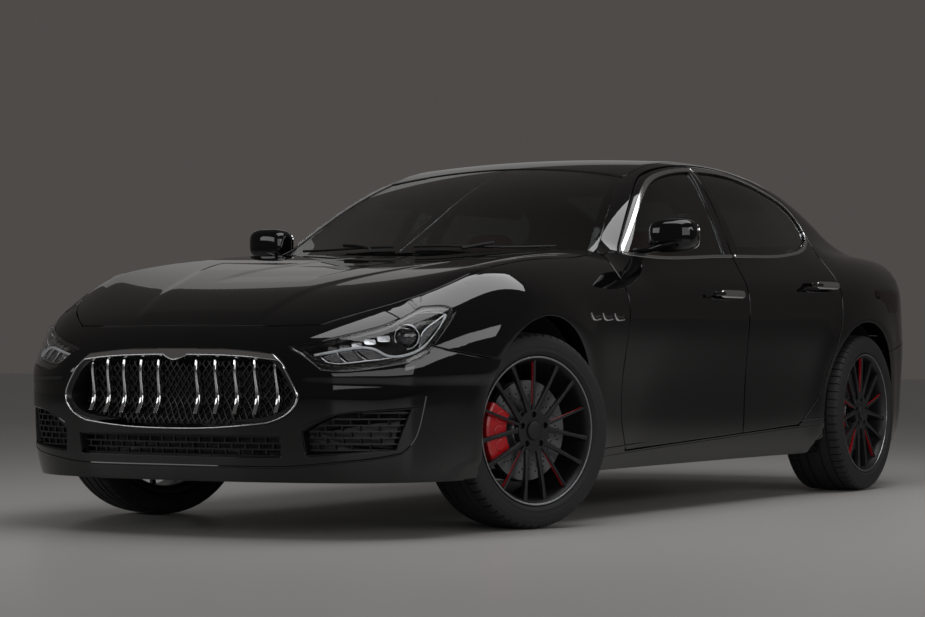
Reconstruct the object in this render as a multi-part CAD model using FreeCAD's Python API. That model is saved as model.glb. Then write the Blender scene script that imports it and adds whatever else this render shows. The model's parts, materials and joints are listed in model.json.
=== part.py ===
"""Four-door fastback saloon, front wheels turned to the right, built in mm.
+X is forward, +Y is left, +Z is up; the origin is on the floor under the middle of the car."""
import os
from math import sin, cos, sqrt, hypot, exp, radians
import FreeCAD
import Part

V = FreeCAD.Vector

# Sizes of the car that drive the rest.
AXLE_F = 1485.5
WHEELBASE = 2998.0
AXLE_R = AXLE_F - WHEELBASE
WHEEL_Z = 353.0
WHEEL_Y_F = 817.5
WHEEL_Y_R = 826.5
TYRE_R_F = 352.0
TYRE_R_R = 353.0
TYRE_W_F = 245.0
TYRE_W_R = 280.0
RIM_R = 268.0
ARCH_R = 412.0
STEER_L = -19.07
STEER_R = -23.07
KINGPIN_Y = 802.0
DISC_R = 180.0
GAP = 7.0
SEAT = 0.3
DOOR_DEPTH = 100.0
CASE_Y = 745.0
CASE_STEP = 19.0
ROOF_GAP = 12.0
HOOD_SWING = 12.0
CUP_R = 100.0
CUP_DEPTH = 16.0
LIP = 5.0
STEP = 9.0
FRAME_DEPTH = 36.0
SKIN = 38.0
GLASS = 6.0
HOOD_DEPTH = 26.0
LID_DEPTH = 30.0
CAB_DEPTH = 60.0


class Curve:
    """Natural cubic spline through (x, value) points, straight beyond its ends."""

    def __init__(self, *points):
        pts = sorted(points)
        self.x = [p[0] for p in pts]
        self.y = [p[1] for p in pts]
        n = len(pts)
        h = [self.x[i + 1] - self.x[i] for i in range(n - 1)]
        slope = [(self.y[i + 1] - self.y[i]) / h[i] for i in range(n - 1)]
        rhs = [0.0] * n
        upper = [0.0] * n
        for i in range(1, n - 1):
            d = 2 * (h[i - 1] + h[i]) - h[i - 1] * upper[i - 1]
            upper[i] = h[i] / d
            rhs[i] = (6 * (slope[i] - slope[i - 1]) - h[i - 1] * rhs[i - 1]) / d
        m = [0.0] * n
        for i in range(n - 2, 0, -1):
            m[i] = rhs[i] - upper[i] * m[i + 1]
        self.m = m
        self.h = h
        self.slope = slope

    def __call__(self, x):
        xs, ys, m = self.x, self.y, self.m
        if x <= xs[0]:
            return ys[0] + (x - xs[0]) * (self.slope[0] - self.h[0] * m[1] / 6)
        if x >= xs[-1]:
            return ys[-1] + (x - xs[-1]) * (self.slope[-1] + self.h[-1] * m[-2] / 6)
        i = 0
        while x > xs[i + 1]:
            i += 1
        h = self.h[i]
        a = (xs[i + 1] - x) / h
        b = (x - xs[i]) / h
        bend = ((a ** 3 - a) * m[i] + (b ** 3 - b) * m[i + 1]) * h * h / 6
        return a * ys[i] + b * ys[i + 1] + bend


def smin(a, b, k):
    h = max(k - abs(a - b), 0.0) / k
    return min(a, b) - h * h * k / 4


# Lower body: a top, two sides, a nose and a tail, blended into one skin.
hood_z = Curve((2485, 640), (2440, 690), (2380, 738), (2250, 800), (2050, 858), (1800, 908), (1485, 955),
               (1200, 990), (900, 1020), (400, 1045), (-1000, 1075), (-1700, 1095), (-2100, 1102), (-2440, 1088))
crest_h = Curve((2400, -10), (2100, 0), (1800, 14), (1485, 16), (1100, 10), (700, 0), (-900, -12),
                (-1500, -25), (-2000, -30), (-2450, -22))
crest_y = Curve((2400, 560), (2100, 690), (1800, 745), (1485, 760), (900, 740), (0, 720), (-1000, 720),
                (-1500, 740), (-2000, 700), (-2450, 640))
side_y = Curve((2400, 868), (2100, 918), (1800, 938), (1485, 946), (1150, 938), (700, 924), (100, 922),
               (-500, 930), (-1000, 946), (-1350, 958), (-1600, 961), (-1850, 951), (-2150, 910), (-2450, 840))
side_inset = Curve((150, 95), (220, 58), (300, 40), (400, 34), (520, 26), (640, 12), (740, 1), (800, 0),
                   (860, 10), (930, 48), (1000, 110), (1100, 240))
lift = Curve((1485, 0), (900, 0), (500, 6), (0, 22), (-700, 45), (-1300, 62), (-1800, 62), (-2450, 45))
nose_plan = Curve((0, 0), (300, -20), (500, -62), (650, -124), (750, -197), (830, -290), (880, -390), (940, -560))
nose_side = Curve((170, 2440), (250, 2462), (350, 2476), (450, 2485.5), (560, 2480), (640, 2455), (700, 2415),
                  (760, 2350), (830, 2240))
tail_plan = Curve((0, 0), (300, 6), (500, 26), (650, 66), (760, 128), (850, 215), (920, 340), (980, 500))
tail_side = Curve((150, -2370), (250, -2440), (380, -2475), (520, -2485.5), (640, -2480), (740, -2455),
                  (860, -2440), (960, -2440), (1050, -2452), (1100, -2440))


def hood_top(x, y):
    y = abs(y)
    cy = crest_y(x)
    t = y / cy
    z = hood_z(x) + crest_h(x) * (t * t if t < 1 else 1 - (t - 1) * 2)
    if y > cy:
        z -= (y - cy) ** 2 / 500.0
    return z


def side(x, z):
    t = min(max((z - 640) / 360.0, 0.0), 1.0)
    s = side_y(x) - side_inset(z - lift(x) * t * t * (3 - 2 * t))
    for ax, bulge in ((AXLE_F, 10.0), (AXLE_R, 12.0)):
        r = hypot(x - ax, z - WHEEL_Z)
        if z > 250:
            s += bulge * exp(-((r - 430) / 90.0) ** 2)
    return s


def lower(x, y, z):
    f = smin(side(x, z) - abs(y), hood_top(x, y) - z, 110)
    f = smin(f, nose_side(z) + nose_plan(abs(y)) - x, 120)
    return smin(f, x - tail_side(z) - tail_plan(abs(y)), 110)


# Greenhouse: a roof line swept down to both screens, and leaning sides.
roof_z = Curve((1150, 940), (1000, 1018), (800, 1112), (600, 1210), (400, 1299), (200, 1370), (0, 1422),
               (-220, 1453), (-480, 1463), (-750, 1460), (-1000, 1446), (-1300, 1408), (-1575, 1345),
               (-1800, 1272), (-2000, 1187), (-2150, 1112), (-2250, 1055))
glass_bend = Curve((1100, 0.42), (900, 0.40), (500, 0.32), (100, 0.20), (-300, 0.03), (-700, -0.03),
                   (-1200, -0.12), (-1700, -0.20), (-2200, -0.24))
cabin_y = Curve((1100, 690), (800, 775), (600, 818), (300, 842), (0, 850), (-400, 855), (-800, 848),
                (-1100, 828), (-1400, 790), (-1700, 735), (-2000, 668), (-2200, 612))


def roof_top(x, y):
    y = abs(y)
    return roof_z(x + glass_bend(x) * y * y / 1000.0) - 0.07 * y * y / 1000.0


def upper(x, y, z):
    h = max(z - 1000, -80)
    s = cabin_y(x) - 0.42 * h - (0.0003 * h * h if h > 0 else 0.0)
    return smin(s - abs(y), roof_top(x, y) - z, 95)


def shell(x, y, z):
    """The greenhouse runs into the shoulder in a small hollow."""
    return -smin(-lower(x, y, z), -upper(x, y, z), 50)


def cast(f, start, way, reach=3200.0):
    """Distance from start along way to the skin f = 0."""
    lo, hi = 0.0, reach
    x, y, z = start
    a, b, c = way
    for _ in range(36):
        mid = (lo + hi) / 2
        if f(x + a * mid, y + b * mid, z + c * mid) > 0:
            lo = mid
        else:
            hi = mid
    return lo


def spread(a, b, n):
    return [a + (b - a) * i / (n - 1.0) for i in range(n)]


def surface(rows):
    s = Part.BSplineSurface()
    s.interpolate([[V(*p) for p in r] for r in rows])
    return s


def sewn(faces):
    c = Part.Compound(faces)
    c.sewShape()
    s = Part.Solid(c.Shells[0])
    if s.Volume < 0:
        s.reverse()
    return s


def plate(outer, inner):
    """Solid between two grids of points."""
    a = surface(outer)
    b = surface(inner)
    u0, u1, v0, v1 = a.bounds()
    w0, w1, t0, t1 = b.bounds()
    faces = [a.toShape(), b.toShape()]
    pairs = ((a.uIso(u0), b.uIso(w0)), (a.uIso(u1), b.uIso(w1)), (a.vIso(v0), b.vIso(t0)), (a.vIso(v1), b.vIso(t1)))
    for p, q in pairs:
        faces.append(Part.makeRuledSurface(p.toShape(), q.toShape()))
    return sewn(faces)


def skin(f, starts_ways, depth_out, depth_in):
    """Plate that follows the skin f, from depth_out to depth_in below it, measured along each ray."""
    outer, inner = [], []
    for row in starts_ways:
        o, i = [], []
        for s, w in row:
            d = cast(f, s, w)
            o.append([s[k] + w[k] * (d - depth_out) for k in range(3)])
            i.append([s[k] + w[k] * (d - depth_in) for k in range(3)])
        outer.append(o)
        inner.append(i)
    return plate(outer, inner)


def fan(xs, angles, z0):
    """Rays in planes across the car, from its middle at height z0; angle 0 is up, 90 is left."""
    return [[((x, 0.0, z0), (0.0, sin(radians(a)), cos(radians(a)))) for a in angles] for x in xs]


def sweep(zs, angles, x0):
    """Level rays from the line x = x0, y = 0; angle 0 is forward, 90 is left."""
    return [[((x0, 0.0, z), (cos(radians(a)), sin(radians(a)), 0.0)) for a in angles] for z in zs]


def ball(azimuths, rises, start):
    """Rays from one point; azimuth 0 is forward, 90 is left, rise is above level."""
    rows = []
    for a in azimuths:
        rows.append([(start, (cos(radians(a)) * cos(radians(e)), sin(radians(a)) * cos(radians(e)), sin(radians(e))))
                     for e in rises])
    return rows


def pitch(ys, angles, x0, z0):
    """Rays in planes along the car from (x0, z0); angle 0 is up, 90 is forward."""
    return [[((x0, y, z0), (sin(radians(a)), 0.0, cos(radians(a)))) for a in angles] for y in ys]


def flat(kind):
    """Turns flat outline points into space: side (x, z), plan (x, y), front (y, z)."""
    return {"side": lambda p, q: V(p, 0, q), "plan": lambda p, q: V(p, q, 0), "front": lambda p, q: V(0, p, q)}[kind]


def outline(pieces, at):
    edges = []
    for piece in pieces:
        pts = [at(*p) for p in piece]
        if len(pts) == 2:
            edges.append(Part.makeLine(*pts))
        else:
            c = Part.BSplineCurve()
            c.interpolate(pts)
            edges.append(c.toShape())
    return Part.Wire(Part.__sortEdges__(edges))


def prism(pieces, kind, start, along):
    """Flat outline set at start and drawn out by along."""
    face = Part.Face(outline(pieces, flat(kind)))
    face.translate(V(*start))
    return face.extrude(V(*along))


def grow(pieces, d):
    """The same outline moved outwards by d; pieces meet end to end."""
    pts = []
    for piece in pieces:
        pts += piece[:-1]
    n = len(pts)
    area = sum(pts[i][0] * pts[(i + 1) % n][1] - pts[(i + 1) % n][0] * pts[i][1] for i in range(n))
    turn = 1 if area > 0 else -1
    moved = []
    for i in range(n):
        a, b, c = pts[i - 1], pts[i], pts[(i + 1) % n]
        n1 = (b[1] - a[1], a[0] - b[0])
        n2 = (c[1] - b[1], b[0] - c[0])
        l1, l2 = hypot(*n1), hypot(*n2)
        u = (n1[0] / l1 + n2[0] / l2, n1[1] / l1 + n2[1] / l2)
        k = max((u[0] ** 2 + u[1] ** 2) / 2, 0.3)
        moved.append((b[0] + u[0] * d * turn / k, b[1] + u[1] * d * turn / k))
    out, i = [], 0
    for piece in pieces:
        m = len(piece) - 1
        out.append([moved[(i + j) % n] for j in range(m + 1)])
        i += m
    return out


def mirrored(shape):
    return shape.mirror(V(0, 0, 0), V(0, 1, 0))


def both(shape):
    return [shape, mirrored(shape)]


def box(x0, x1, y0, y1, z0, z1):
    return Part.makeBox(x1 - x0, y1 - y0, z1 - z0, V(x0, y0, z0))


def rod(p, q, r):
    a, b = V(*p), V(*q)
    return Part.makeCylinder(r, (b - a).Length, a, b - a)


def fuse(shapes):
    s = shapes[0]
    if len(shapes) > 1:
        s = s.multiFuse(shapes[1:])
    return s


def main_solids(shape, litres):
    """Leave out the chips that a cut leaves behind."""
    return Part.Compound([q for q in shape.Solids if q.Volume > litres * 1e6])


def save(name, shapes):
    solids = []
    for s in shapes:
        solids += s.Solids
    for s in solids:
        if not s.isValid():
            print("not valid:", name)
    Part.Compound(solids).exportStep("parts/%s.step" % name)
    print(name, len(solids), round(sum(s.Volume for s in solids) / 1e6, 2), "litre")


os.makedirs("parts", exist_ok=True)
for old in os.listdir("parts"):
    os.remove("parts/" + old)


# Outlines seen from above (x, y), from the side (x, z) and from the front (y, z), on the left half.
HOOD = [[(2355, 0), (2352, 162), (2337, 360), (2304, 516)],
        [(2304, 516), (2200, 625), (1988, 752), (1770, 800), (1400, 806), (1000, 796), (790, 760)],
        [(790, 760), (864, 600), (942, 400), (990, 200), (1006, 0)]]
WINDSCREEN = [[(100, 0), (112, 300), (134, 556)],
              [(134, 556), (454, 652), (661, 718), (740, 742)],
              [(740, 742), (845, 600), (925, 400), (975, 200), (992, 0)]]
REAR_SCREEN = [[(-2118, 0), (-2094, 300), (-2040, 545)],
               [(-2040, 545), (-1700, 556), (-1400, 545), (-1205, 520)],
               [(-1205, 520), (-1228, 300), (-1235, 0)]]
ROOF = [[(90, 0), (102, 300), (122, 560)], [(122, 560), (-1195, 560)], [(-1195, 560), (-1218, 300), (-1225, 0)]]
LID = [[(-2490, 0), (-2490, 560)], [(-2490, 560), (-2088, 560)], [(-2088, 560), (-2130, 300), (-2150, 0)]]
BELT = Curve((616, 1010), (359, 1005), (0, 1017), (-395, 1031), (-831, 1044), (-1000, 1058), (-1180, 1085),
             (-1330, 1128))
LAMP = [[(-1382, 651), (-1254, 678), (-1119, 711), (-1057, 729), (-991, 759), (-923, 789)],
        [(-923, 789), (-881, 792), (-819, 785), (-805, 774)],
        [(-805, 774), (-825, 749), (-903, 662), (-957, 616), (-991, 604)],
        [(-991, 604), (-1132, 582), (-1245, 574), (-1292, 578)],
        [(-1292, 578), (-1346, 628)], [(-1346, 628), (-1382, 651)]]
GRILLE = [[(0, 646), (217, 643), (392, 628)],
          [(392, 628), (440, 588), (478, 531), (497, 481), (473, 436), (383, 393)],
          [(383, 393), (200, 376), (0, 371)]]
INTAKE = [[(0, 353), (250, 352), (430, 350)], [(430, 350), (425, 280)], [(425, 280), (250, 278), (0, 278)]]
SIDE_INTAKE = [[(500, 366), (560, 402), (625, 428)], [(625, 428), (739, 440), (815, 448)],
               [(815, 448), (775, 303)], [(775, 303), (640, 292), (510, 284)], [(510, 284), (500, 366)]]
TAIL = [[(588, 815), (720, 800), (960, 812)], [(960, 812), (960, 905)], [(960, 905), (760, 935), (588, 930)],
        [(588, 930), (588, 815)]]


def sill_line(x):
    return 250 + (990 - x) * 0.0355


FRONT_EDGE = [(745, sill_line(745)), (795, 350), (812, 450), (812, 600), (800, 800), (790, 950), (740, 1000),
              (640, 1012)]
SPLIT_F = [(-364, 1418), (-355, 1330), (-342, 1200), (-314, 1050), (-302, 900), (-297, 600), (-290, sill_line(-290))]
DOOR_F = [[(640, 1012), (443, 1154), (211, 1291), (62, 1356), (-110, 1394), (-225, 1408), (-364, 1418)],
          SPLIT_F, [(-290, sill_line(-290)), (745, sill_line(745))], FRONT_EDGE]
DOOR_R = [[(-371, 1419), (-587, 1422), (-834, 1405), (-1057, 1361), (-1200, 1324), (-1300, 1284), (-1364, 1224),
           (-1382, 1165), (-1345, 1100)],
          [(-1345, 1100), (-1285, 1045), (-1252, 960), (-1243, 900), (-1232, 800), (-1190, 680), (-1130, 570),
           (-1080, 490), (-1020, 420), (-950, 365), (-860, sill_line(-860))],
          [(-860, sill_line(-860)), (-297, sill_line(-297))],
          [(-297, sill_line(-297)), (-304, 600), (-309, 900), (-321, 1050), (-349, 1200), (-362, 1330), (-371, 1419)]]
PANE_F = [[(600, 1022), (439, 1130), (208, 1267), (60, 1331), (-110, 1369), (-225, 1383), (-330, 1391)],
          [(-330, 1391), (-306, 1313), (-278, 1184), (-240, 1036)],
          [(-240, 1036), (0, 1026), (359, 1014), (600, 1022)]]
PANE_R = [[(-405, 1394), (-587, 1397), (-834, 1380), (-1057, 1336), (-1200, 1299), (-1284, 1262), (-1338, 1212),
           (-1354, 1170), (-1322, 1136)],
          [(-1322, 1136), (-1180, 1094), (-1000, 1067), (-831, 1053), (-395, 1040)],
          [(-395, 1040), (-407, 1211), (-404, 1336), (-405, 1394)]]


def whole(half):
    """A left half outline in (x, y) and its mirror, as one closed outline."""
    return half + [[(p, -q) for p, q in reversed(piece)] for piece in reversed(half)]


def across(half):
    """A left half outline in (y, z) and its mirror, as one closed outline."""
    return half + [[(-p, q) for p, q in reversed(piece)] for piece in reversed(half)]


def from_side(pieces, y0=300, y1=1200):
    return prism(pieces, "side", (0, y0, 0), (0, y1 - y0, 0))


def from_top(pieces, z0=600, z1=1600):
    return prism(pieces, "plan", (0, 0, z0), (0, 0, z1 - z0))


def from_front(pieces, x0=1900, x1=2700):
    return prism(pieces, "front", (x0, 0, 0), (x1 - x0, 0, 0))


def from_tail(pieces):
    return from_front(pieces, -2700, -2140)


def from_corner(pieces, t0=1800, t1=2300):
    """The lamp outline lies across the corner: its first number is (y - x) over root two."""
    r = sqrt(0.5)
    edges = []
    for piece in pieces:
        pts = [V(t0 * r - s * r, t0 * r + s * r, z) for s, z in piece]
        if len(pts) == 2:
            edges.append(Part.makeLine(*pts))
        else:
            c = Part.BSplineCurve()
            c.interpolate(pts)
            edges.append(c.toShape())
    return Part.Face(Part.Wire(Part.__sortEdges__(edges))).extrude(V((t1 - t0) * r, (t1 - t0) * r, 0))


def polygon(points):
    return [[points[i - 1], points[i]] for i in range(len(points))]


def arch(ax, r):
    return Part.makeCylinder(r, 2400, V(ax, -1200, WHEEL_Z), V(0, 1, 0))


belt_pts = [(x, BELT(x) + 2) for x in spread(840, -1330, 13)] + [(-1420, 1150)]
BELOW_BELT = from_side(polygon(belt_pts + [(-1420, 100), (840, 100)]))
ABOVE_BELT = from_side(polygon([(x, z - 45) for x, z in belt_pts] + [(-1420, 1600), (840, 1600)]))


def door_rays(x0, x1):
    return fan(spread(x0, x1, 14), spread(24, 124, 27), 600.0)


def door(side_outline, x0, x1, pane):
    """An outer lip that covers the shut gap, a frame a step smaller behind it, and a deep case below the belt."""
    rays = door_rays(x0, x1)
    inner = from_side(grow(side_outline, -STEP))
    lip = skin(shell, rays, 0.0, LIP).common(from_side(side_outline))
    frame = skin(shell, rays, LIP - 1, FRAME_DEPTH).common(inner)
    case = skin(shell, rays, FRAME_DEPTH - 4, DOOR_DEPTH).common(BELOW_BELT)
    case = case.common(from_side(grow(side_outline, -CASE_STEP)))
    case = case.cut(box(-1500, 900, 0, CASE_Y, 0, 1200))
    panel = lip.fuse(frame).fuse(case).cut(from_side(pane).common(ABOVE_BELT))
    return panel.cut(from_top(grow(whole(ROOF), ROOF_GAP), 1200))


def with_handle(panel, x0, x1, z):
    """Bar handle on two feet, over a finger cup pressed into the door."""
    mid = (x0 + x1) / 2
    y0 = side(mid, z)
    panel = panel.cut(Part.makeSphere(CUP_R, V(mid, y0 + CUP_R - CUP_DEPTH, z)))
    bar = box(x0, x1, y0 + 24, y0 + 36, z - 9, z + 9)
    bar = bar.makeFillet(5, bar.Edges)
    feet = [box(x - 12, x + 12, side(x, z) - 12, y0 + 28, z - 7, z + 7) for x in (x0 + 22, x1 - 22)]
    return fuse([panel, bar] + feet)


doors = {"front": door(DOOR_F, 840, -410, PANE_F), "rear": door(DOOR_R, -270, -1430, PANE_R)}
doors["front"] = doors["front"].cut(box(-376, -338, 400, 900, 1366, 1430))
doors["front"] = with_handle(doors["front"], -218, 78, 868)
doors["rear"] = with_handle(doors["rear"], -1194, -880, 922)
for end in ("front", "rear"):
    save("door_%s_left" % end, [doors[end]])
    save("door_%s_right" % end, [mirrored(doors[end])])

# Door glass, seated in the frames; the rear pane takes in the quarter light.
for end, pane, x0, x1 in (("front", PANE_F, 700, -400), ("rear", PANE_R, -350, -1430)):
    glass = skin(upper, fan(spread(x0, x1, 12), spread(18, 98, 14), 900.0), 10.0, 10.0 + GLASS)
    glass = glass.common(from_side(grow(pane, -0.6)))
    save("glass_%s_left" % end, [glass])
    save("glass_%s_right" % end, [mirrored(glass)])

# Greenhouse shell: pillars, cant rails and the flange that carries both screens.
cab_x = spread(1008, -2168, 34)
cab_a = spread(-98, 98, 41)
cab = skin(upper, fan(cab_x, cab_a, 900.0), 0.0, CAB_DEPTH)
screen_front = whole(WINDSCREEN)
screen_rear = whole(REAR_SCREEN)
flange = skin(upper, fan(cab_x, cab_a, 900.0), 2.0 + GLASS + 2 * SEAT, 42.0)
cab = cab.cut(from_top(screen_front, 800)).cut(from_top(screen_rear, 800))
flange = flange.cut(from_top(grow(screen_front, -34), 800)).cut(from_top(grow(screen_rear, -34), 800))
ahead = from_top(polygon([(740, 742), (790, 742), (790, 1000), (1300, 1000), (1300, -1000), (790, -1000),
                          (790, -742), (740, -742), (845, -600),
                          (925, -400), (975, -200), (992, 0), (975, 200), (925, 400), (845, 600)]), 800)
behind = from_top(polygon([(-2040, 546), (-2094, 300), (-2118, 0), (-2094, -300), (-2040, -546), (-2040, -700),
                           (-2400, -700), (-2400, 700), (-2040, 700)]), 800)
frame = cab.fuse(flange).cut(ahead).cut(behind)
frame = frame.cut(box(-2400, 1300, -1200, 1200, 700, 955))
roof_cut = from_top(whole(ROOF), 1250)
rail_rays = fan(spread(200, -1300, 16), spread(-80, 80, 25), 900.0)
roof = cab.common(roof_cut).cut(skin(upper, rail_rays, 44.0, 75.0))
frame = frame.cut(from_top(grow(whole(ROOF), SEAT), 1250))
save("roof_panel", [roof])
screens = skin(upper, fan(cab_x, cab_a, 900.0), 2.0, 2.0 + GLASS)
save("windscreen", [screens.common(from_top(grow(screen_front, -0.6), 800))])
save("rear_screen", [screens.common(from_top(grow(screen_rear, -0.6), 800))])

# Side frames: quarter panels, sills and door pillars, joined to the greenhouse shell.
OPENING_F = grow(DOOR_F, GAP)
OPENING_R = grow(DOOR_R, GAP)
hole = from_side(OPENING_F).fuse(from_side(OPENING_R))
quarter_rays = ball(spread(38, 188, 34), spread(-14, 62, 20), (-1700.0, 0.0, 550.0))
quarter = skin(lower, quarter_rays, 0.0, SKIN)
quarter = quarter.cut(box(-2700, -2000, -300, 20, 0, 1400)).cut(from_tail(TAIL))
sill_top = [(1130, sill_line(1130) - GAP), (-1160, sill_line(-1160) - GAP)]
quarter = quarter.cut(from_side(polygon([(x, z + SEAT) for x, z in sill_top] + [(-1160, 0), (1130, 0)]), 0))
quarter = quarter.common(from_side(polygon([(-850, 200), (-850, 480), (-1100, 700), (-1190, 1020), (-1260, 1160),
                                            (-1400, 1250), (-2600, 1250), (-2600, 200)]), 0))
inside_cab = polygon([(-1100, 740), (-1400, 700), (-1700, 650), (-2000, 585), (-2084, 562), (-2084, -50), (-1100, -50)])
quarter = quarter.cut(from_top(inside_cab, 800))
quarter = quarter.cut(from_top(grow(whole(REAR_SCREEN), 4), 700)).cut(from_top(grow(whole(LID), 4), 700))
rear_bumper_top = [(-1600, 618), (-1900, 640), (-2100, 668), (-2250, 700), (-2700, 730)]
quarter = quarter.cut(from_side(polygon(rear_bumper_top + [(-2700, 100), (-1600, 100)]), 0))
quarter = quarter.cut(arch(AXLE_R, ARCH_R))
sill = skin(lower, fan(spread(1130, -1160, 18), spread(84, 126, 10), 500.0), 0.0, 190.0)
sill = sill.common(from_side(polygon(sill_top + [(-1160, 185), (1130, 185)]), 735))
for ax in (AXLE_F, AXLE_R):
    sill = sill.cut(arch(ax, ARCH_R))
post_rays = door_rays(840, -410)
post_low = skin(shell, post_rays, DOOR_DEPTH + 10, 175.0).fuse(box(-400, -240, 655, 735, 250, 1100))
post_low = post_low.common(from_side(polygon([(-245, 250), (-250, 1100), (-385, 1100), (-365, 250)]), 655))
post_low = post_low.cut(box(-500, -200, 740, 1200, 880, 1200))
post_high = skin(upper, fan(spread(-200, -480, 5), spread(18, 98, 12), 900.0), FRAME_DEPTH + 14, 150.0)
post_high = post_high.common(from_side(polygon([(-272, 1066), (-290, 1200), (-318, 1475), (-428, 1475), (-410, 1200),
                                                (-393, 1066)]), 500))
hinge_post = skin(lower, fan(spread(825, 985, 5), spread(44, 122, 24), 500.0), SKIN + 4, 190.0)
hinge_post = hinge_post.common(from_side(polygon([(842, 240), (842, 985), (984, 985), (984, 240)]), 735))
stop = skin(shell, post_rays, DOOR_DEPTH + SEAT, DOOR_DEPTH + 20)
stop = stop.common(from_side(polygon([(-248, 500), (-248, 860), (-284, 860), (-284, 500)])))
rear_jamb = skin(lower, quarter_rays, 20.0, DOOR_DEPTH + 40)
rear_jamb = rear_jamb.common(from_side(polygon([(-1275, 640), (-1269, 930), (-1300, 930), (-1306, 700)]), 600))
rear_stop = skin(shell, door_rays(-270, -1430), DOOR_DEPTH + SEAT, DOOR_DEPTH + 40)
rear_stop = rear_stop.common(from_side(polygon([(-1180, 740), (-1180, 900), (-1290, 900), (-1290, 740)]), 600))
rail = skin(upper, rail_rays, 44.0 + SEAT, 84.0)
rail = rail.common(box(-1090, 90, 500, 640, 1250, 1500))
left = main_solids(frame.common(box(-2600, 1400, 0, 1200, 0, 1600)).cut(hole), 1.0)
left = left.fuse(main_solids(quarter.cut(hole), 1.0))
for piece in (rear_jamb, rear_stop):
    left = left.fuse(piece)
left = main_solids(left, 1.0)
save("side_frames", both(left))
pillar = sill
for piece in (hinge_post, post_low, post_high, stop, rail):
    pillar = pillar.fuse(piece)
pillar = pillar.cut(left)
save("sills_pillars", both(main_solids(pillar, 1.0)))

# Hood, boot lid, front wings and bumpers.
hood_rays = pitch(spread(-815, 815, 27), spread(-41, 56, 24), 1500.0, 100.0)
save("hood", [skin(lower, hood_rays, 0.0, HOOD_DEPTH).common(from_top(whole(HOOD), 600, 1400))])
lid_rays = pitch(spread(-575, 575, 15), spread(17, -97, 24), -2150.0, 800.0)
lid = skin(lower, lid_rays, 0.0, LID_DEPTH).common(from_top(whole(LID), 765, 1400))
save("boot_lid", [lid])
fender = skin(lower, fan(spread(808, 2235, 26), spread(38, 122, 18), 500.0), 0.0, SKIN)
fender = fender.cut(from_top(grow(whole(HOOD), 4), 600, 1400)).cut(arch(AXLE_F, ARCH_R))
fender = fender.cut(from_side(polygon([(600, sill_line(600) - GAP + SEAT), (600, 0), (2400, 0),
                                       (2400, sill_line(2400) - GAP + SEAT)]), 0))
seam = [(2168, 664), (2121, 656), (2058, 642), (1970, 628), (1888, 618), (1700, 604)]
fender = fender.cut(from_side(polygon([(2168, 1000)] + seam + [(1700, 100), (2600, 100), (2600, 1000)]), 0))
fender = fender.cut(box(2166, 2700, 0, 1200, 0, 1000))
fender = fender.cut(from_corner(LAMP)).cut(box(600, 830, 0, 806, 0, 1200))
fender = fender.cut(from_side(OPENING_F))
fender = main_solids(fender, 1.0)
save("front_wings", both(fender))
nose_rays = sweep(spread(192, 800, 15), spread(-99, 99, 45), 1750.0)
bumper = skin(lower, nose_rays, 0.0, 42.0)
bumper = bumper.cut(from_top(grow(whole(HOOD), HOOD_SWING), 640, 1400)).cut(arch(AXLE_F, ARCH_R))
above_seam = from_side(polygon([(2171, 1000)] + [(x + 3, z - 3) for x, z in seam] + [(1700, 1000)]), 0)
for cutter in both(above_seam) + both(from_corner(LAMP)) + both(from_front(SIDE_INTAKE)):
    bumper = bumper.cut(cutter)
bumper = bumper.cut(from_front(across(GRILLE))).cut(from_front(across(INTAKE)))
bumper = bumper.cut(box(2100, 2700, -1200, 1200, 742, 1000))
save("front_bumper", [main_solids(bumper, 1.0)])
lamp = skin(lower, sweep(spread(560, 800, 9), spread(5, 72, 24), 1750.0), 0.0, 90.0)
save("headlamps", both(lamp.common(from_corner(grow(LAMP, -0.6)))))
save("tail_lamps", both(skin(lower, quarter_rays, 0.0, 60.0).common(from_tail(grow(TAIL, -0.6)))))
tail_rays = sweep(spread(205, 770, 12), spread(81, 279, 45), -1750.0)
rear_bumper = skin(lower, tail_rays, 0.0, 42.0).cut(arch(AXLE_R, ARCH_R))
bumper_gap = [(x, z - 3) for x, z in rear_bumper_top]
over = from_side(polygon(bumper_gap + [(-2700, 1000), (-1600, 1000)]), 558)
rear_bumper = rear_bumper.cut(over).cut(mirrored(over)).cut(box(-2700, -2000, -700, 700, 758, 1000))
for y in (-620, -525, 525, 620):
    rear_bumper = rear_bumper.cut(rod((-2700, y, 300), (-2000, y, 300), 43))
save("rear_bumper", [main_solids(rear_bumper, 1.0)])

# Grille: bright surround, ten upright bars and a backing plate; lower grilles behind the bumper's openings.
face_rays = sweep(spread(340, 680, 11), spread(-52, 52, 31), 1750.0)
surround = skin(lower, face_rays, -4.0, 34.0).common(from_front(grow(across(GRILLE), -0.6)))
surround = surround.cut(from_front(grow(across(GRILLE), -15)))
backing = skin(lower, face_rays, 30.0, 40.0).common(from_front(grow(across(GRILLE), -4)))
blades = []
for y in (88, 152, 226, 304, 380):
    blades += both(skin(lower, face_rays, 2.0, 34.0).common(box(2000, 2700, y - 5, y + 5, 425, 612)))
save("grille", [fuse([surround, backing] + blades)])
low_rays = sweep(spread(240, 480, 9), spread(-62, 62, 37), 1750.0)
sheet = skin(lower, low_rays, 42.0 + 2 * SEAT, 50.0)
save("lower_grilles", [sheet.common(from_front(grow(across(INTAKE), 14)))]
     + both(sheet.common(from_front(grow(SIDE_INTAKE, 12)))))

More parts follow.
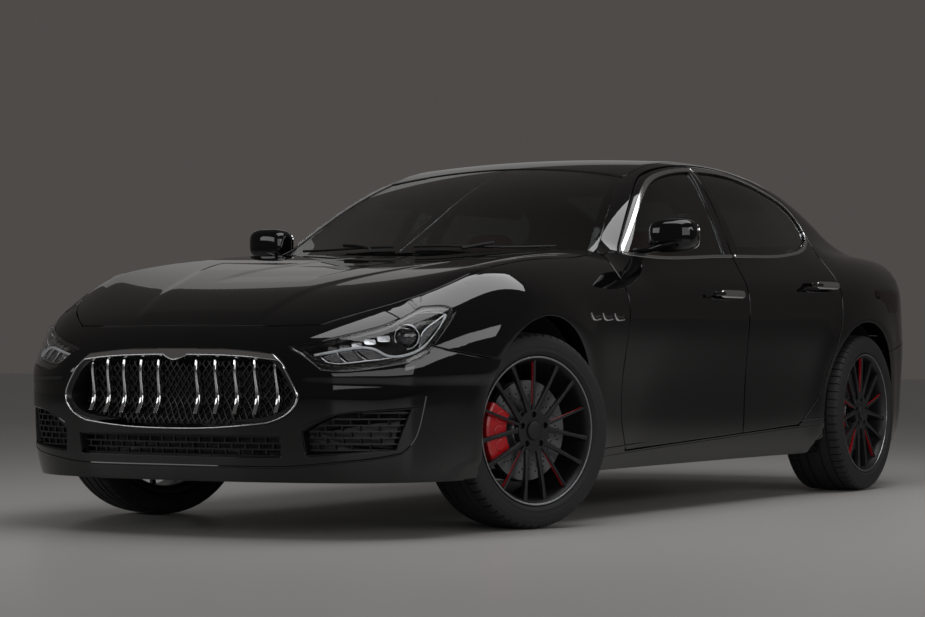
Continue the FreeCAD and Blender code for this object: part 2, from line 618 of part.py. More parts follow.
# Body structure: floor, bulkheads, rails, wheel houses and boot.
lower_trim = skin(lower, fan(spread(975, 2300, 20), spread(-122, 122, 41), 500.0), -70.0, SKIN + SEAT)
hood_under = skin(lower, hood_rays, -60.0, HOOD_DEPTH + SEAT)
floor = box(-1100, 1000, -734.7, 734.7, 195, 225)
floor = floor.cut(box(-1200, -1050, 440, 800, 0, 400)).cut(box(-1200, -1050, -800, -440, 0, 400))
save("floor_pan", [floor])
front = [box(980, 1020, -820, 820, 225.3, 900)]
rails = [box(1019, 2316, 300, 380, 400, 520), box(1030, 1950, 379, 441, 400, 420), box(1019, 1950, 440, 460, 400, 850),
         box(1390, 1580, 440, 766, 760, 790), box(1019, 2060, 735, 765, 790, 990), box(1390, 1580, 700, 766, 760, 800)]
beam = skin(lower, sweep(spread(440, 560, 4), spread(-34, 34, 15), 1750.0), 100.0, 145.0)
panel = box(2120, 2160, -500, 500, 300, 700).cut(box(2110, 2170, -280, 280, 380, 620))
stops = rod((2140, 400, 660), (2140, 400, 900), 14)
front += rails + [mirrored(r) for r in rails] + [beam, panel, stops, mirrored(stops)]
front = fuse(front).cut(lower_trim).cut(hood_under)
for cutter in both(from_corner(grow(LAMP, 2.0))):
    front = front.cut(cutter)
front = front.cut(box(900, 1030, 600, 1200, 0, 1200)).cut(box(900, 1030, -1200, -600, 0, 1200))
save("front_structure", [main_solids(front, 0.5)])
rear_trim = skin(lower, fan(spread(-1000, -2400, 20), spread(-122, 122, 41), 500.0), -70.0, SKIN + SEAT)
back = [prism(polygon([(-1050, 225.3), (-1100.3, 330), (-1100.3, 460), (-1292, 1030), (-1312, 1030), (-1121, 460),
                       (-1121, 300), (-1071, 225.3)]), "side", (0, -430, 0), (0, 860, 0)),
        prism(polygon([(-1190, 730), (-1292, 1030), (-1312, 1030), (-1210, 730)]), "side", (0, -640, 0), (0, 1280, 0)),
        box(-2400, -1105, -440, 440, 340, 360), box(-2030, -1270, -600, 600, 925, 945)]
walls = [box(-2380, -1105, 440, 460, 340, 780), box(-1960, -1200, 440, 800, 760, 780)]
cabin_side = prism(polygon([(-900, 200), (-1050, 225), (-1101, 330), (-1101, 460), (-1293, 1031), (-900, 1031)]),
                   "side", (0, 0, 0), (0, 900, 0))
walls = [w.cut(cabin_side) for w in walls]
back += walls + [mirrored(w) for w in walls]
valance = skin(lower, sweep(spread(330, 740, 8), spread(150, 210, 21), -1750.0), 60.0, 90.0)


def under_lid(x, y):
    """Height of the boot lid's underside at x, y, found along the lid's own rays."""
    low, high = 0.0, 60.0
    for _ in range(30):
        a = (low + high) / 2
        way = (-sin(radians(a)), 0.0, cos(radians(a)))
        depth = cast(lower, (-2150.0, y, 800.0), way) - LID_DEPTH
        if -2150.0 + way[0] * depth > x:
            low = a
        else:
            high = a
    return 800.0 + way[2] * depth


BUFFER_R = 16.0
rim = [(-2300 + BUFFER_R * cos(radians(a)), 450 + BUFFER_R * sin(radians(a))) for a in range(0, 360, 30)]
buffer = rod((-2300, 450, 760), (-2300, 450, min(under_lid(x, y) for x, y in rim) - SEAT), BUFFER_R)
back = fuse(back + [valance]).cut(rear_trim)
save("rear_structure", [back.fuse(buffer).fuse(mirrored(buffer))])

# Engine as one block between the rails, exhaust with four tips.
engine = box(1100, 1850, -290, 290, 300, 780)
engine = engine.makeFillet(20, engine.Edges).fuse(box(1400, 1560, -299.7, 299.7, 430, 490))
save("engine_block", [engine])
pipes = [box(-2260, -1980, -380, 380, 205, 300)]
for y in (-110, 110):
    pipes.append(rod((900, y, 165), (-1500, y, 165), 26))
    pipes.append(rod((-1460, y, 165), (-1530, y, 165), 34))
    pipes.append(rod((-1490, y, 165), (-2000, y, 240), 26))
for y in (-1, 1):
    pipes.append(box(-2240, -2120, min(y * 370, y * 640), max(y * 370, y * 640), 270, 318))
    pipes.append(rod((-2150, y * 620, 300), (-2440, y * 620, 300), 38))
    pipes.append(rod((-2150, y * 525, 300), (-2440, y * 525, 300), 38))
    pipes.append(box(-2140, -2100, min(y * 200, y * 240), max(y * 200, y * 240), 290, 339.7))
exhaust = fuse(pipes)
for y in (-620, -525, 525, 620):
    exhaust = exhaust.cut(rod((-2441, y, 300), (-2360, y, 300), 34))
save("exhaust", [exhaust])

# Seats, bench, dashboard and steering wheel.


def seat(x, y, width):
    cushion = prism([[(x + 260, 470), (x + 280, 500), (x + 240, 525)], [(x + 240, 525), (x, 500), (x - 260, 485)],
                     [(x - 260, 485), (x - 260, 340)], [(x - 260, 340), (x + 240, 380)],
                     [(x + 240, 380), (x + 260, 470)]], "side", (0, y - width / 2, 0), (0, width, 0))
    rest = prism([[(x - 200, 440), (x - 250, 700), (x - 340, 1000)], [(x - 340, 1000), (x - 390, 1010), (x - 430, 980)],
                  [(x - 430, 980), (x - 380, 700), (x - 330, 440)], [(x - 330, 440), (x - 200, 440)]],
                 "side", (0, y - width / 2 + 20, 0), (0, width - 40, 0))
    head = prism([[(x - 360, 1020), (x - 350, 1090), (x - 390, 1150)], [(x - 390, 1150), (x - 450, 1140)],
                  [(x - 450, 1140), (x - 440, 1030)], [(x - 440, 1030), (x - 360, 1020)]],
                 "side", (0, y - 120, 0), (0, 240, 0))
    post = rod((x - 385, y, 970), (x - 405, y, 1060), 10)
    base = box(x - 220, x + 180, y - 190, y + 190, 225.3, 400)
    return fuse([cushion, rest, head, post, base])


save("front_seats", both(seat(0, 380, 500)))
bench = prism([[(-650, 400), (-640, 480), (-670, 510)], [(-670, 510), (-850, 495), (-985, 470)],
               [(-985, 470), (-1080, 760), (-1150, 985)], [(-1150, 985), (-1190, 1030), (-1262, 1000)],
               [(-1262, 1000), (-1100, 510)], [(-1100, 510), (-1040, 225.3)],
               [(-1040, 225.3), (-720, 225.3)], [(-720, 225.3), (-650, 400)]], "side", (0, -640, 0), (0, 1280, 0))
bench = bench.cut(prism(polygon([(-1037, 200), (-1110, 520), (-1296, 1060), (-1500, 1060), (-1500, 200)]), "side",
                        (0, -900, 0), (0, 1800, 0)))
save("rear_bench", [bench])
dash = prism([[(979.7, 860), (979.7, 600)], [(979.7, 600), (760, 600)], [(760, 600), (640, 700), (610, 800), (640, 880)],
              [(640, 880), (760, 930), (860, 935)], [(860, 935), (979.7, 860)]], "side", (0, -720, 0), (0, 1440, 0))
console = box(-140, 780, -110, 110, 225.3, 560)
console = console.makeFillet(15, console.Edges).fuse(box(650, 780, -110, 110, 400, 640))
wheel_at = V(452, 380, 860)
lean = V(-0.883, 0, 0.469)
column = Part.makeCylinder(32, 200, wheel_at - lean * (16 + SEAT), lean * -1)
save("dashboard", [fuse([dash, console, column])])
ring = Part.makeTorus(182, 15, wheel_at, lean)
boss = Part.makeCylinder(55, 34, wheel_at - lean * 16, lean)
arms = Part.makeBox(340, 40, 14, V(-170, -20, -7))
arms2 = Part.makeBox(40, 175, 14, V(-20, -175, -7))
spin = FreeCAD.Rotation(V(0, 0, 1), lean)
for a in (arms, arms2):
    a.Placement = FreeCAD.Placement(V(0, 0, 0), FreeCAD.Rotation(V(0, 0, 1), 90))
spokes = arms.fuse(arms2)
spokes.Placement = FreeCAD.Placement(wheel_at, spin)
save("steering_wheel", [fuse([ring, boss, spokes])])

# Door mirrors on their feet.
mirror = box(430, 520, 868, 1050, 1024, 1150)
mirror = mirror.makeFillet(34, mirror.Edges)
foot = box(470, 540, 815, 915, 1012, 1050)
mirror = mirror.fuse(foot)
mirror = mirror.cut(skin(shell, door_rays(840, -410), -SEAT, 80.0))
mirror = max(mirror.Solids, key=lambda q: q.Volume)
save("mirror_left", [mirror])
save("mirror_right", [mirrored(mirror)])


# Wheels, built upright at the origin with the outer face towards +Y, then set on the car.
def turned(points):
    """Ring from a closed profile of (y, radius) points."""
    pts = [V(0, y, r) for y, r in points]
    return Part.Face(Part.makePolygon(pts + [pts[0]])).revolve(V(0, 0, 0), V(0, 1, 0), 360)


def tyre(radius, width):
    w = width / 2.0
    half = [(w - 24, RIM_R - 13.5), (w - 23.5, RIM_R + 0.6), (w - 8, RIM_R + 6), (w, RIM_R + 34), (w - 3, radius - 28),
            (w - 12, radius - 9), (w - 28, radius - 2), (w * 0.5, radius)]
    return turned(half + [(-y, r) for y, r in reversed(half)])


def drum(y0, y1, r):
    return Part.makeCylinder(r, y1 - y0, V(0, y0, 0), V(0, 1, 0))


def rim(width):
    w = width / 2.0
    half = [(w - 10, RIM_R), (w - 10, RIM_R - 16), (w - 20, RIM_R - 26)]
    inner = [(-w + 20, RIM_R - 30), (-w + 10, RIM_R - 16), (-w + 10, RIM_R)]
    lips = [(-w + 18, RIM_R), (-w + 23.3, RIM_R - 14), (w - 23.3, RIM_R - 14), (w - 18, RIM_R)]
    out = w - 18
    parts = [turned(half + inner + lips), drum(62.3, out - 4, 74), drum(60 + 8, out + 3, 33)]
    for k in range(5):
        for a, w0, w1 in ((54 + 72 * k - 12, 20, 15), (54 + 72 * k + 12, 20, 15), (90 + 72 * k, 22, 15)):
            bar = prism(polygon([(60, -w0 / 2), (RIM_R - 22, -w1 / 2), (RIM_R - 22, w1 / 2), (60, w0 / 2)]), "side",
                        (0, out - 26, 0), (0, 24, 0))
            bar.rotate(V(0, 0, 0), V(0, 1, 0), -a)
            parts.append(bar)
    body = fuse(parts)
    for k in range(5):
        a = radians(90 + 72 * k)
        body = body.cut(Part.makeCylinder(11, 20, V(57.15 * cos(a), out - 18, 57.15 * sin(a)), V(0, 1, 0)))
    return body


def disc():
    return fuse([drum(0, 62, 74), drum(22, 52, DISC_R), drum(-58, 1, 28)])


def caliper():
    block = turned([(4, 112), (72, 112), (72, 204), (4, 204)])
    wedge = prism(polygon([(0, 0), (400, -250), (400, 250)]), "side", (0, -50, 0), (0, 200, 0))
    return block.common(wedge).cut(drum(19, 55, DISC_R + 4))


def knuckle(drop):
    upright = box(-40, 40, -75, -50, -133, 137)
    housing = drum(-52, -4, 58)
    lugs = [box(-22, 22, -60, drop, -147.7, -122), box(-22, 22, -60, drop, 122, 151.7)]
    lugs += [Part.makeCylinder(24, 25.7, V(0, drop, -147.7)), Part.makeCylinder(24, 29.7, V(0, drop, 122))]
    arm = [box(30, 150, -75, -58, -40, 40), box(118, 150, -75, 3.7, -40, 40)]
    return fuse([upright, housing] + lugs + arm).cut(drum(-80, 0, 28 + SEAT))


def steered(shape, left):
    """Set a left-hand front piece at its hub, mirror it for the right, and turn it by the steering angle."""
    s = shape.copy()
    s.translate(V(AXLE_F, WHEEL_Y_F, WHEEL_Z))
    if not left:
        s = mirrored(s)
    angle = STEER_L if left else STEER_R
    s.rotate(V(AXLE_F, KINGPIN_Y if left else -KINGPIN_Y, 0), V(0, 0, 1), angle)
    return s


def rear_hub(shape, left):
    s = shape.copy()
    s.translate(V(AXLE_R, WHEEL_Y_R, WHEEL_Z))
    return s if left else mirrored(s)


front_set = {"tyre": tyre(TYRE_R_F, TYRE_W_F), "rim": rim(TYRE_W_F), "disc": disc()}
rear_set = {"tyre": tyre(TYRE_R_R, TYRE_W_R), "rim": rim(TYRE_W_R), "disc": disc()}
for kind in ("tyre", "rim", "disc"):
    for side_name in ("left", "right"):
        save("%s_front_%s" % (kind, side_name), [steered(front_set[kind], side_name == "left")])
        save("%s_rear_%s" % (kind, side_name), [rear_hub(rear_set[kind], side_name == "left")])
drop = KINGPIN_Y - WHEEL_Y_F
for side_name in ("left", "right"):
    save("knuckle_" + side_name, [steered(knuckle(drop), side_name == "left")])
    save("caliper_" + side_name, [steered(caliper(), side_name == "left")])
save("rear_knuckles", [rear_hub(knuckle(drop), True), rear_hub(knuckle(drop), False)])
save("rear_calipers", [rear_hub(caliper(), True), rear_hub(caliper(), False)])

# Suspension that carries the knuckles: subframe, two arms and a strut on each side.


def axle(ax, hub_y):
    pin = hub_y + drop
    low = WHEEL_Z - 148
    top = WHEEL_Z + 152
    parts = [box(ax - 90, ax + 90, -420, 420, 196, 250) if ax > 0 else box(ax - 90, ax + 90, -420, 420, 212, 250)]
    for y in (1, -1):
        parts.append(box(ax - 25, ax + 25, min(y * 400, y * pin), max(y * 400, y * pin), low - 22, low))
        parts.append(Part.makeCylinder(28, 22, V(ax, y * pin, low - 22)))
    solids = [fuse(parts)]
    for y in (1, -1):
        arm = [Part.makeCylinder(24, 20, V(ax, y * pin, top)),
               rod((ax - 70, y * 466, top + 10), (ax, y * (pin - 12), top + 10), 10),
               rod((ax + 70, y * 466, top + 10), (ax, y * (pin - 12), top + 10), 10)]
        arm.append(box(ax - 90, ax + 90, min(y * 460.3, y * 475), max(y * 460.3, y * 475), top - 6, top + 26))
        solids.append(fuse(arm))
        solids.append(rod((ax, y * 530, low + SEAT), (ax, y * 530, 759.7), 34))
    return solids


save("front_axle", axle(AXLE_F, WHEEL_Y_F))
save("rear_axle", axle(AXLE_R, WHEEL_Y_R))
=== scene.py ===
"""Black four-door fastback saloon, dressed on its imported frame. Metres, +X forward, +Y to the left, +Z up.
The body's shape is worked in millimetres, as the car's own drawings are."""
import json
from math import cos, pi, radians, sin, sqrt

import bmesh
import bpy
import numpy as np
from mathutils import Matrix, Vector, geometry


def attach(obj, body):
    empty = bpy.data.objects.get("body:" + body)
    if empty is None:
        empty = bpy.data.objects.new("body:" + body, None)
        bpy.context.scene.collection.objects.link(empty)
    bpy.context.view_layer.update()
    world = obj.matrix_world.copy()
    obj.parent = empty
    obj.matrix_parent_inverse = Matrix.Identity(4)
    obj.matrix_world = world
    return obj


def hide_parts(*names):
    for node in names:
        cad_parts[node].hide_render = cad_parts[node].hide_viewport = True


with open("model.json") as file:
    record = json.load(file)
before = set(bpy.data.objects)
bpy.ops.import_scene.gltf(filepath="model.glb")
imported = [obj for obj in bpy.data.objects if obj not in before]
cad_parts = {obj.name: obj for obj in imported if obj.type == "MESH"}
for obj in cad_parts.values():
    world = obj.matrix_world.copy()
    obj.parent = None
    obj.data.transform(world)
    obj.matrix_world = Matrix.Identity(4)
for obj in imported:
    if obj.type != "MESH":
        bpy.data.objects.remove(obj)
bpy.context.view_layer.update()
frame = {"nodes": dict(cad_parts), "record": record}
nodes = frame["nodes"]


# Painted shell. Pressed steel panels in gloss black, each with a hemmed edge round its shut line.
# The same curves drive the solids: a body with a nose and a tail, and a greenhouse set on it.
AXLE_F, AXLE_R, WHEEL_Z, ARCH_R = 1485.5, -1512.5, 353.0, 412.0
PROUD = 2.0  # how far a painted skin stands off its solid


class Curve:
    """Smooth line through (x, value) points, straight beyond its ends."""

    def __init__(self, *points):
        p = np.array(sorted(points), float)
        self.x, self.y = p[:, 0], p[:, 1]
        self.h = np.diff(self.x)
        self.s = np.diff(self.y) / self.h
        n = len(self.x)
        a, r = np.eye(n), np.zeros(n)
        for i in range(1, n - 1):
            a[i, i - 1:i + 2] = self.h[i - 1], 2 * (self.h[i - 1] + self.h[i]), self.h[i]
            r[i] = 6 * (self.s[i] - self.s[i - 1])
        self.m = np.linalg.solve(a, r)

    def __call__(self, x):
        x = np.asarray(x, float)
        i = np.clip(np.searchsorted(self.x, x) - 1, 0, len(self.h) - 1)
        h = self.h[i]
        b = np.clip((x - self.x[i]) / h, 0, 1)
        a = 1 - b
        bend = (a ** 3 - a) * self.m[i] + (b ** 3 - b) * self.m[i + 1]
        v = a * self.y[i] + b * self.y[i + 1] + bend * h * h / 6
        v = v + np.minimum(x - self.x[0], 0) * (self.s[0] - self.h[0] * self.m[1] / 6)
        return v + np.maximum(x - self.x[-1], 0) * (self.s[-1] + self.h[-1] * self.m[-2] / 6)


hood_z = Curve((2485, 640), (2440, 690), (2380, 738), (2250, 800), (2050, 858), (1800, 908), (1485, 955),
               (1200, 990), (900, 1020), (400, 1045), (-1000, 1075), (-1700, 1095), (-2100, 1102),
               (-2440, 1088))
crest_h = Curve((2400, -10), (2100, 0), (1800, 14), (1485, 16), (1100, 10), (700, 0), (-900, -12),
                (-1500, -25), (-2000, -30), (-2450, -22))
crest_y = Curve((2400, 560), (2100, 690), (1800, 745), (1485, 760), (900, 740), (0, 720), (-1000, 720),
                (-1500, 740), (-2000, 700), (-2450, 640))
side_y = Curve((2400, 868), (2100, 918), (1800, 938), (1485, 946), (1150, 938), (700, 924), (100, 922),
               (-500, 930), (-1000, 946), (-1350, 958), (-1600, 961), (-1850, 951), (-2150, 910),
               (-2450, 840))
side_inset = Curve((150, 95), (220, 58), (300, 40), (400, 34), (520, 26), (640, 12), (740, 1), (800, 0),
                   (860, 10), (930, 48), (1000, 110), (1100, 240))
lift = Curve((1485, 0), (900, 0), (500, 6), (0, 22), (-700, 45), (-1300, 62), (-1800, 62), (-2450, 45))
nose_plan = Curve((0, 0), (300, -20), (500, -62), (650, -124), (750, -197), (830, -290), (880, -390),
                  (940, -560))
nose_side = Curve((170, 2440), (250, 2462), (350, 2476), (450, 2485.5), (560, 2480), (640, 2455), (700, 2415),
                  (760, 2350), (830, 2240))
tail_plan = Curve((0, 0), (300, 6), (500, 26), (650, 66), (760, 128), (850, 215), (920, 340), (980, 500))
tail_side = Curve((150, -2370), (250, -2440), (380, -2475), (520, -2485.5), (640, -2480), (740, -2455),
                  (860, -2440), (960, -2440), (1050, -2452), (1100, -2440))
roof_z = Curve((1150, 940), (1000, 1018), (800, 1112), (600, 1210), (400, 1299), (200, 1370), (0, 1422),
               (-220, 1453), (-480, 1463), (-750, 1460), (-1000, 1446), (-1300, 1408), (-1575, 1345),
               (-1800, 1272), (-2000, 1187), (-2150, 1112), (-2250, 1055))
glass_bend = Curve((1100, 0.42), (900, 0.40), (500, 0.32), (100, 0.20), (-300, 0.03), (-700, -0.03),
                   (-1200, -0.12), (-1700, -0.20), (-2200, -0.24))
cabin_y = Curve((1100, 690), (800, 775), (600, 818), (300, 842), (0, 850), (-400, 855), (-800, 848),
                (-1100, 828), (-1400, 790), (-1700, 735), (-2000, 668), (-2200, 612))


def smin(a, b, k):
    h = np.maximum(k - np.abs(a - b), 0) / k
    return np.minimum(a, b) - h * h * k / 4


def hood_top(x, y):
    y = np.abs(y)
    cy = crest_y(x)
    t = y / cy
    z = hood_z(x) + crest_h(x) * np.where(t < 1, t * t, 1 - (t - 1) * 2)
    return z - np.maximum(y - cy, 0) ** 2 / 500


def side(x, z):
    t = np.clip((z - 640) / 360, 0, 1)
    s = side_y(x) - side_inset(z - lift(x) * t * t * (3 - 2 * t))
    for ax, bulge in ((AXLE_F, 10), (AXLE_R, 12)):
        r = np.hypot(x - ax, z - WHEEL_Z)
        s = s + (z > 250) * bulge * np.exp(-((r - 430) / 90) ** 2)
    return s


def lower(x, y, z):
    f = smin(side(x, z) - np.abs(y), hood_top(x, y) - z, 110)
    f = smin(f, nose_side(z) + nose_plan(np.abs(y)) - x, 120)
    return smin(f, x - tail_side(z) - tail_plan(np.abs(y)), 110)


def upper(x, y, z):
    y = np.abs(y)
    h = np.maximum(z - 1000, -80)
    s = cabin_y(x) - 0.42 * h - np.where(h > 0, 0.0003 * h * h, 0)
    return smin(s - y, roof_z(x + glass_bend(x) * y * y / 1000) - 0.07 * y * y / 1000 - z, 95)


def shell(x, y, z):
    """Body and greenhouse run into each other, in a wider hollow towards the tail."""
    k = 50 + 60 * np.clip((-900 - x) / 500, 0, 1)
    return -smin(-lower(x, y, z), -np.minimum(upper(x, y, z), x + 2230), k)


def below(f, d):
    return lambda x, y, z: f(x, y, z) - d


def cast(f, start, way, reach=3200.0):
    lo, hi = np.zeros(len(start)), np.full(len(start), reach)
    for _ in range(28):
        mid = (lo + hi) / 2
        inside = f(*(start + way * mid[:, None]).T) > 0
        lo, hi = np.where(inside, mid, lo), np.where(inside, hi, mid)
    return start + way * lo[:, None]


def unit(v):
    return v / np.maximum(np.linalg.norm(v, axis=1), 1e-9)[:, None]


def facing(f, p, e=1.5):
    """Directions square to the skin, outwards."""
    return unit(np.stack([f(*(p - e * d).T) - f(*(p + e * d).T) for d in np.eye(3)], 1))


class Spine:
    """Unrolls the body from a line between its ends: u runs along it and round nose and tail, v round it."""
    z, front, back, bend, round = 600.0, 1750.0, -1700.0, 800.0, 650.0

    def rays(self, u, v):
        turn = (np.maximum(u - self.front, 0) + np.minimum(u - self.back, 0)) / self.bend
        a = v / self.round
        start = np.stack([np.clip(u, self.back, self.front), 0 * u, 0 * u + self.z], 1)
        return start, np.stack([np.sin(turn) * np.sin(a), np.cos(turn) * np.sin(a), np.cos(a)], 1)

    def flat(self, p):
        over = np.maximum(p[:, 0] - self.front, 0) + np.minimum(p[:, 0] - self.back, 0)
        u = np.clip(p[:, 0], self.back, self.front) + np.arctan2(over, p[:, 1]) * self.bend
        inside = over == 0
        u[inside] = p[inside, 0]
        return np.stack([u, np.arctan2(np.hypot(over, p[:, 1]), p[:, 2] - self.z) * self.round], 1)


class Above:
    """Unrolls a lid from a cross bar at (x0, z0): u runs over it from back to front, v across."""

    def __init__(self, x0, z0, r):
        self.x0, self.z0, self.r = x0, z0, r

    def rays(self, u, v):
        a = u / self.r
        start = np.stack([0 * u + self.x0, v, 0 * u + self.z0], 1)
        return start, np.stack([np.sin(a), 0 * u, np.cos(a)], 1)

    def flat(self, p):
        return np.stack([np.arctan2(p[:, 0] - self.x0, p[:, 2] - self.z0) * self.r, p[:, 1]], 1)


class Plan:
    """The skin seen from above."""

    def rays(self, u, v):
        return np.stack([u, v, 0 * u + 320], 1), np.tile((0.0, 0.0, 1.0), (len(u), 1))

    def flat(self, p):
        return p[:, :2].copy()


def trace(pieces, step=14.0):
    """Closed outline as dense points: two points give a straight piece, more a smooth one."""
    pieces = [list(q) for q in pieces]
    if pieces[0][0] != pieces[-1][-1]:
        pieces.append([pieces[-1][-1], pieces[0][0]])
    out = []
    for q in pieces:
        q = np.array(q, float)
        d = np.concatenate([[0], np.cumsum(np.hypot(*np.diff(q, axis=0).T))])
        t = np.linspace(0, d[-1], max(int(d[-1] / step), 1) + 1)[:-1]
        out += [np.interp(t, d, q[:, 0]), np.interp(t, d, q[:, 1])] if len(q) == 2 else [
            Curve(*zip(d, q[:, 0]))(t), Curve(*zip(d, q[:, 1]))(t)]
    return np.stack([np.concatenate(out[0::2]), np.concatenate(out[1::2])], 1)


def grow(loop, d):
    """The same closed outline, moved outwards by d."""
    a, b = loop - np.roll(loop, 1, 0), np.roll(loop, -1, 0) - loop
    area = np.sum(loop[:, 0] * np.roll(loop[:, 1], -1) - np.roll(loop[:, 0], -1) * loop[:, 1])
    n1, n2 = (unit(np.stack([q[:, 1], -q[:, 0]], 1)) for q in (a, b))
    u = n1 + n2
    return loop + np.sign(area) * d * u / np.maximum((u ** 2).sum(1) / 2, 0.4)[:, None]


def encloses(loop, p):
    """Which points lie inside a closed outline."""
    x, y = p[:, 0][:, None], p[:, 1][:, None]
    (ax, ay), (bx, by) = loop.T, np.roll(loop, -1, 0).T
    cross = (ay > y) != (by > y)
    at = (bx - ax) * (y - ay) / np.where(by == ay, 1e-9, by - ay) + ax
    return (cross & (x < at)).sum(1) % 2 == 1


class Area:
    """Outline drawn on one view of the left half: side (x, z), plan (x, y), front or tail (y, z), or corner,
    which looks at the head lamp from halfway between front and side."""
    r = sqrt(0.5)

    def __init__(self, view, pieces, more=0.0):
        self.view = view
        loop = trace(pieces)
        self.loop = grow(loop, more) if more else loop

    def onto(self, f):
        a, b = self.loop.T
        o = np.zeros_like(a)
        c = 1700 * self.r
        start, way = {"side": ((a, o, b), (0, 1, 0)), "plan": ((a, b, o + 320), (0, 0, 1)),
                      "front": ((o + 1500, a, b), (1, 0, 0)), "tail": ((o - 1600, a, b), (-1, 0, 0)),
                      "corner": ((c - a * self.r, c + a * self.r, b), (self.r, self.r, 0))}[self.view]
        return cast(f, np.stack(start, 1), np.tile(np.array(way, float), (len(a), 1)))

    def __call__(self, p):
        x, y, z = p.T
        y = np.abs(y)
        seen = {"side": (x, z), "plan": (x, y), "front": (y, z), "tail": (y, z),
                "corner": ((y - x) * self.r, z)}
        hit = encloses(self.loop, np.stack(seen[self.view], 1))
        return hit & {"front": x > 1600, "tail": x < -1600, "corner": x > 1600}.get(self.view, True)


class Level:
    """Level line at height z round the nose or the tail."""

    def __init__(self, z, x0):
        self.z, self.x0 = z, x0

    def onto(self, f):
        a = np.linspace(0.02, pi / 2, 130)
        way = np.stack([np.sign(self.x0) * np.cos(a), np.sin(a), 0 * a], 1)
        return cast(f, np.tile((self.x0, 0.0, self.z), (len(a), 1)), way)


def spread(lines, span, grid):
    """Triangles over a rectangle of a chart, with edges along the lines and round the border."""
    u0, u1, v0, v1 = span
    corners = [(u0, v0), (u1, v0), (u1, v1), (u0, v1)]
    border = trace([[corners[i], corners[(i + 1) % 4]] for i in range(4)], grid)
    flat, links = [], []
    for line in lines + [border]:
        n, m = len(flat), len(line)
        u, v = line.T
        near = (u > u0 - 60) & (u < u1 + 60) & (v > v0 - 60) & (v < v1 + 60)
        flat += [tuple(q) for q in line]
        links += [(n + i, n + (i + 1) % m) for i in range(m) if near[i] and near[(i + 1) % m]
                  and np.hypot(*(line[i] - line[(i + 1) % m])) < 90]
    used = sorted({i for q in links for i in q})
    new = {i: k for k, i in enumerate(used)}
    flat = np.array(flat)[used]
    links = [(new[a], new[b]) for a, b in links]
    uu, vv = np.meshgrid(np.arange(u0 + grid / 2, u1, grid), np.arange(v0 + grid / 2, v1, grid * 0.87))
    uu[::2] += grid / 2
    free = np.stack([uu.ravel(), vv.ravel()], 1)
    p0, p1 = flat[[q[0] for q in links]], flat[[q[1] for q in links]]
    for i in range(0, len(free), 400):
        q = free[i:i + 400, None, :]
        t = np.clip(((q - p0) * (p1 - p0)).sum(2) / np.maximum(((p1 - p0) ** 2).sum(1), 1e-6), 0, 1)
        near = np.sqrt(((q - p0 - t[..., None] * (p1 - p0)) ** 2).sum(2)).min(1) < grid * 0.4
        free[i:i + 400][near] = 1e9
    points = np.concatenate([flat, free[free[:, 0] < 1e8]])
    verts, _, faces, _, _, _ = geometry.delaunay_2d_cdt([Vector(q) for q in points], links, [], 0, 0.3)
    verts = np.array([tuple(q) for q in verts])
    tri = np.array([tuple(q) for q in faces if len(q) == 3])
    size = np.abs(np.cross(*(verts[tri][:, k] - verts[tri][:, 0] for k in (1, 2))))
    return verts, tri[encloses(np.array(corners, float), verts[tri].mean(1)) & (size > 0.5)]


def hemmed(p, tri, out, hem, flange, proud, back):
    """Turns a skin's rim in by a hem and a flange, and backs it with a second skin where asked."""
    ahead = {}
    for a, b, c in tri:
        for q in ((a, b), (b, c), (c, a)):
            ahead[q] = ahead.get(q, 0) + 1
    rim = {a: b for a, b in ahead if (b, a) not in ahead}
    behind = {b: a for a, b in rim.items()}
    ids = np.array(sorted(set(rim) & set(behind)), int)
    n = out[ids]
    e1 = unit(np.cross(p[ids] - p[[behind[i] for i in ids]], n))
    e2 = unit(np.cross(p[[rim[i] for i in ids]] - p[ids], n))
    t = e1 + e2
    reach = t / np.maximum((t ** 2).sum(1) / 2, 0.5)[:, None]
    t = unit(t)
    core = p.copy()
    core[ids] -= reach * hem
    rings = [(-0.3 * hem * (reach + n), unit(n + t)), (-hem * n, t), (-flange * n, t)]
    points, normals, shapes = [core + proud * out], [out], tri.tolist()
    order = {i: k for k, i in enumerate(ids)}
    last = {i: i for i in ids}
    count = len(p)
    for shift, way in rings:
        points.append(p[ids] + shift + proud * n)
        normals.append(way)
        now = {i: count + order[i] for i in ids}
        shapes += [(last[i], now[i], now[rim[i]], last[rim[i]]) for i in ids if rim[i] in order]
        last = now
        count += len(ids)
    if back:
        points.append(p - flange * out + proud * out)
        normals.append(-out)
        shapes += [(count + c, count + b, count + a) for a, b, c in tri.tolist()]
    p, d = np.concatenate(points), np.concatenate(normals)
    used = np.array(sorted({i for q in shapes for i in q}))
    new = np.full(len(p), -1)
    new[used] = np.arange(len(used))
    return p[used], [tuple(int(new[i]) for i in q) for q in shapes], d[used]


def panel(f, chart, span, edges, keep, grid=30.0, hem=2.5, flange=14.0, proud=0.0, mirror=False, back=False):
    """Part of the skin f where keep holds, with its edges on the outlines: points in mm, faces, and a
    direction for each point, which keeps the gloss even over any mesh."""
    lines = [chart.flat(e.onto(f) * (1, way, 1)) for way in ((1, -1) if mirror else (1,)) for e in edges]
    verts, tri = spread(lines, span, grid)
    p = cast(f, *chart.rays(*verts.T))
    tri = tri[keep(cast(f, *chart.rays(*verts[tri].mean(1).T)))]
    out = facing(f, p)
    a, b, c = (p[tri[:, k]] for k in range(3))
    turn = np.einsum("ij,ij->i", np.cross(b - a, c - a), out[tri[:, 0]])
    tri[turn < 0] = tri[turn < 0][:, ::-1]
    return hemmed(p, tri, out, hem, flange, proud, back)


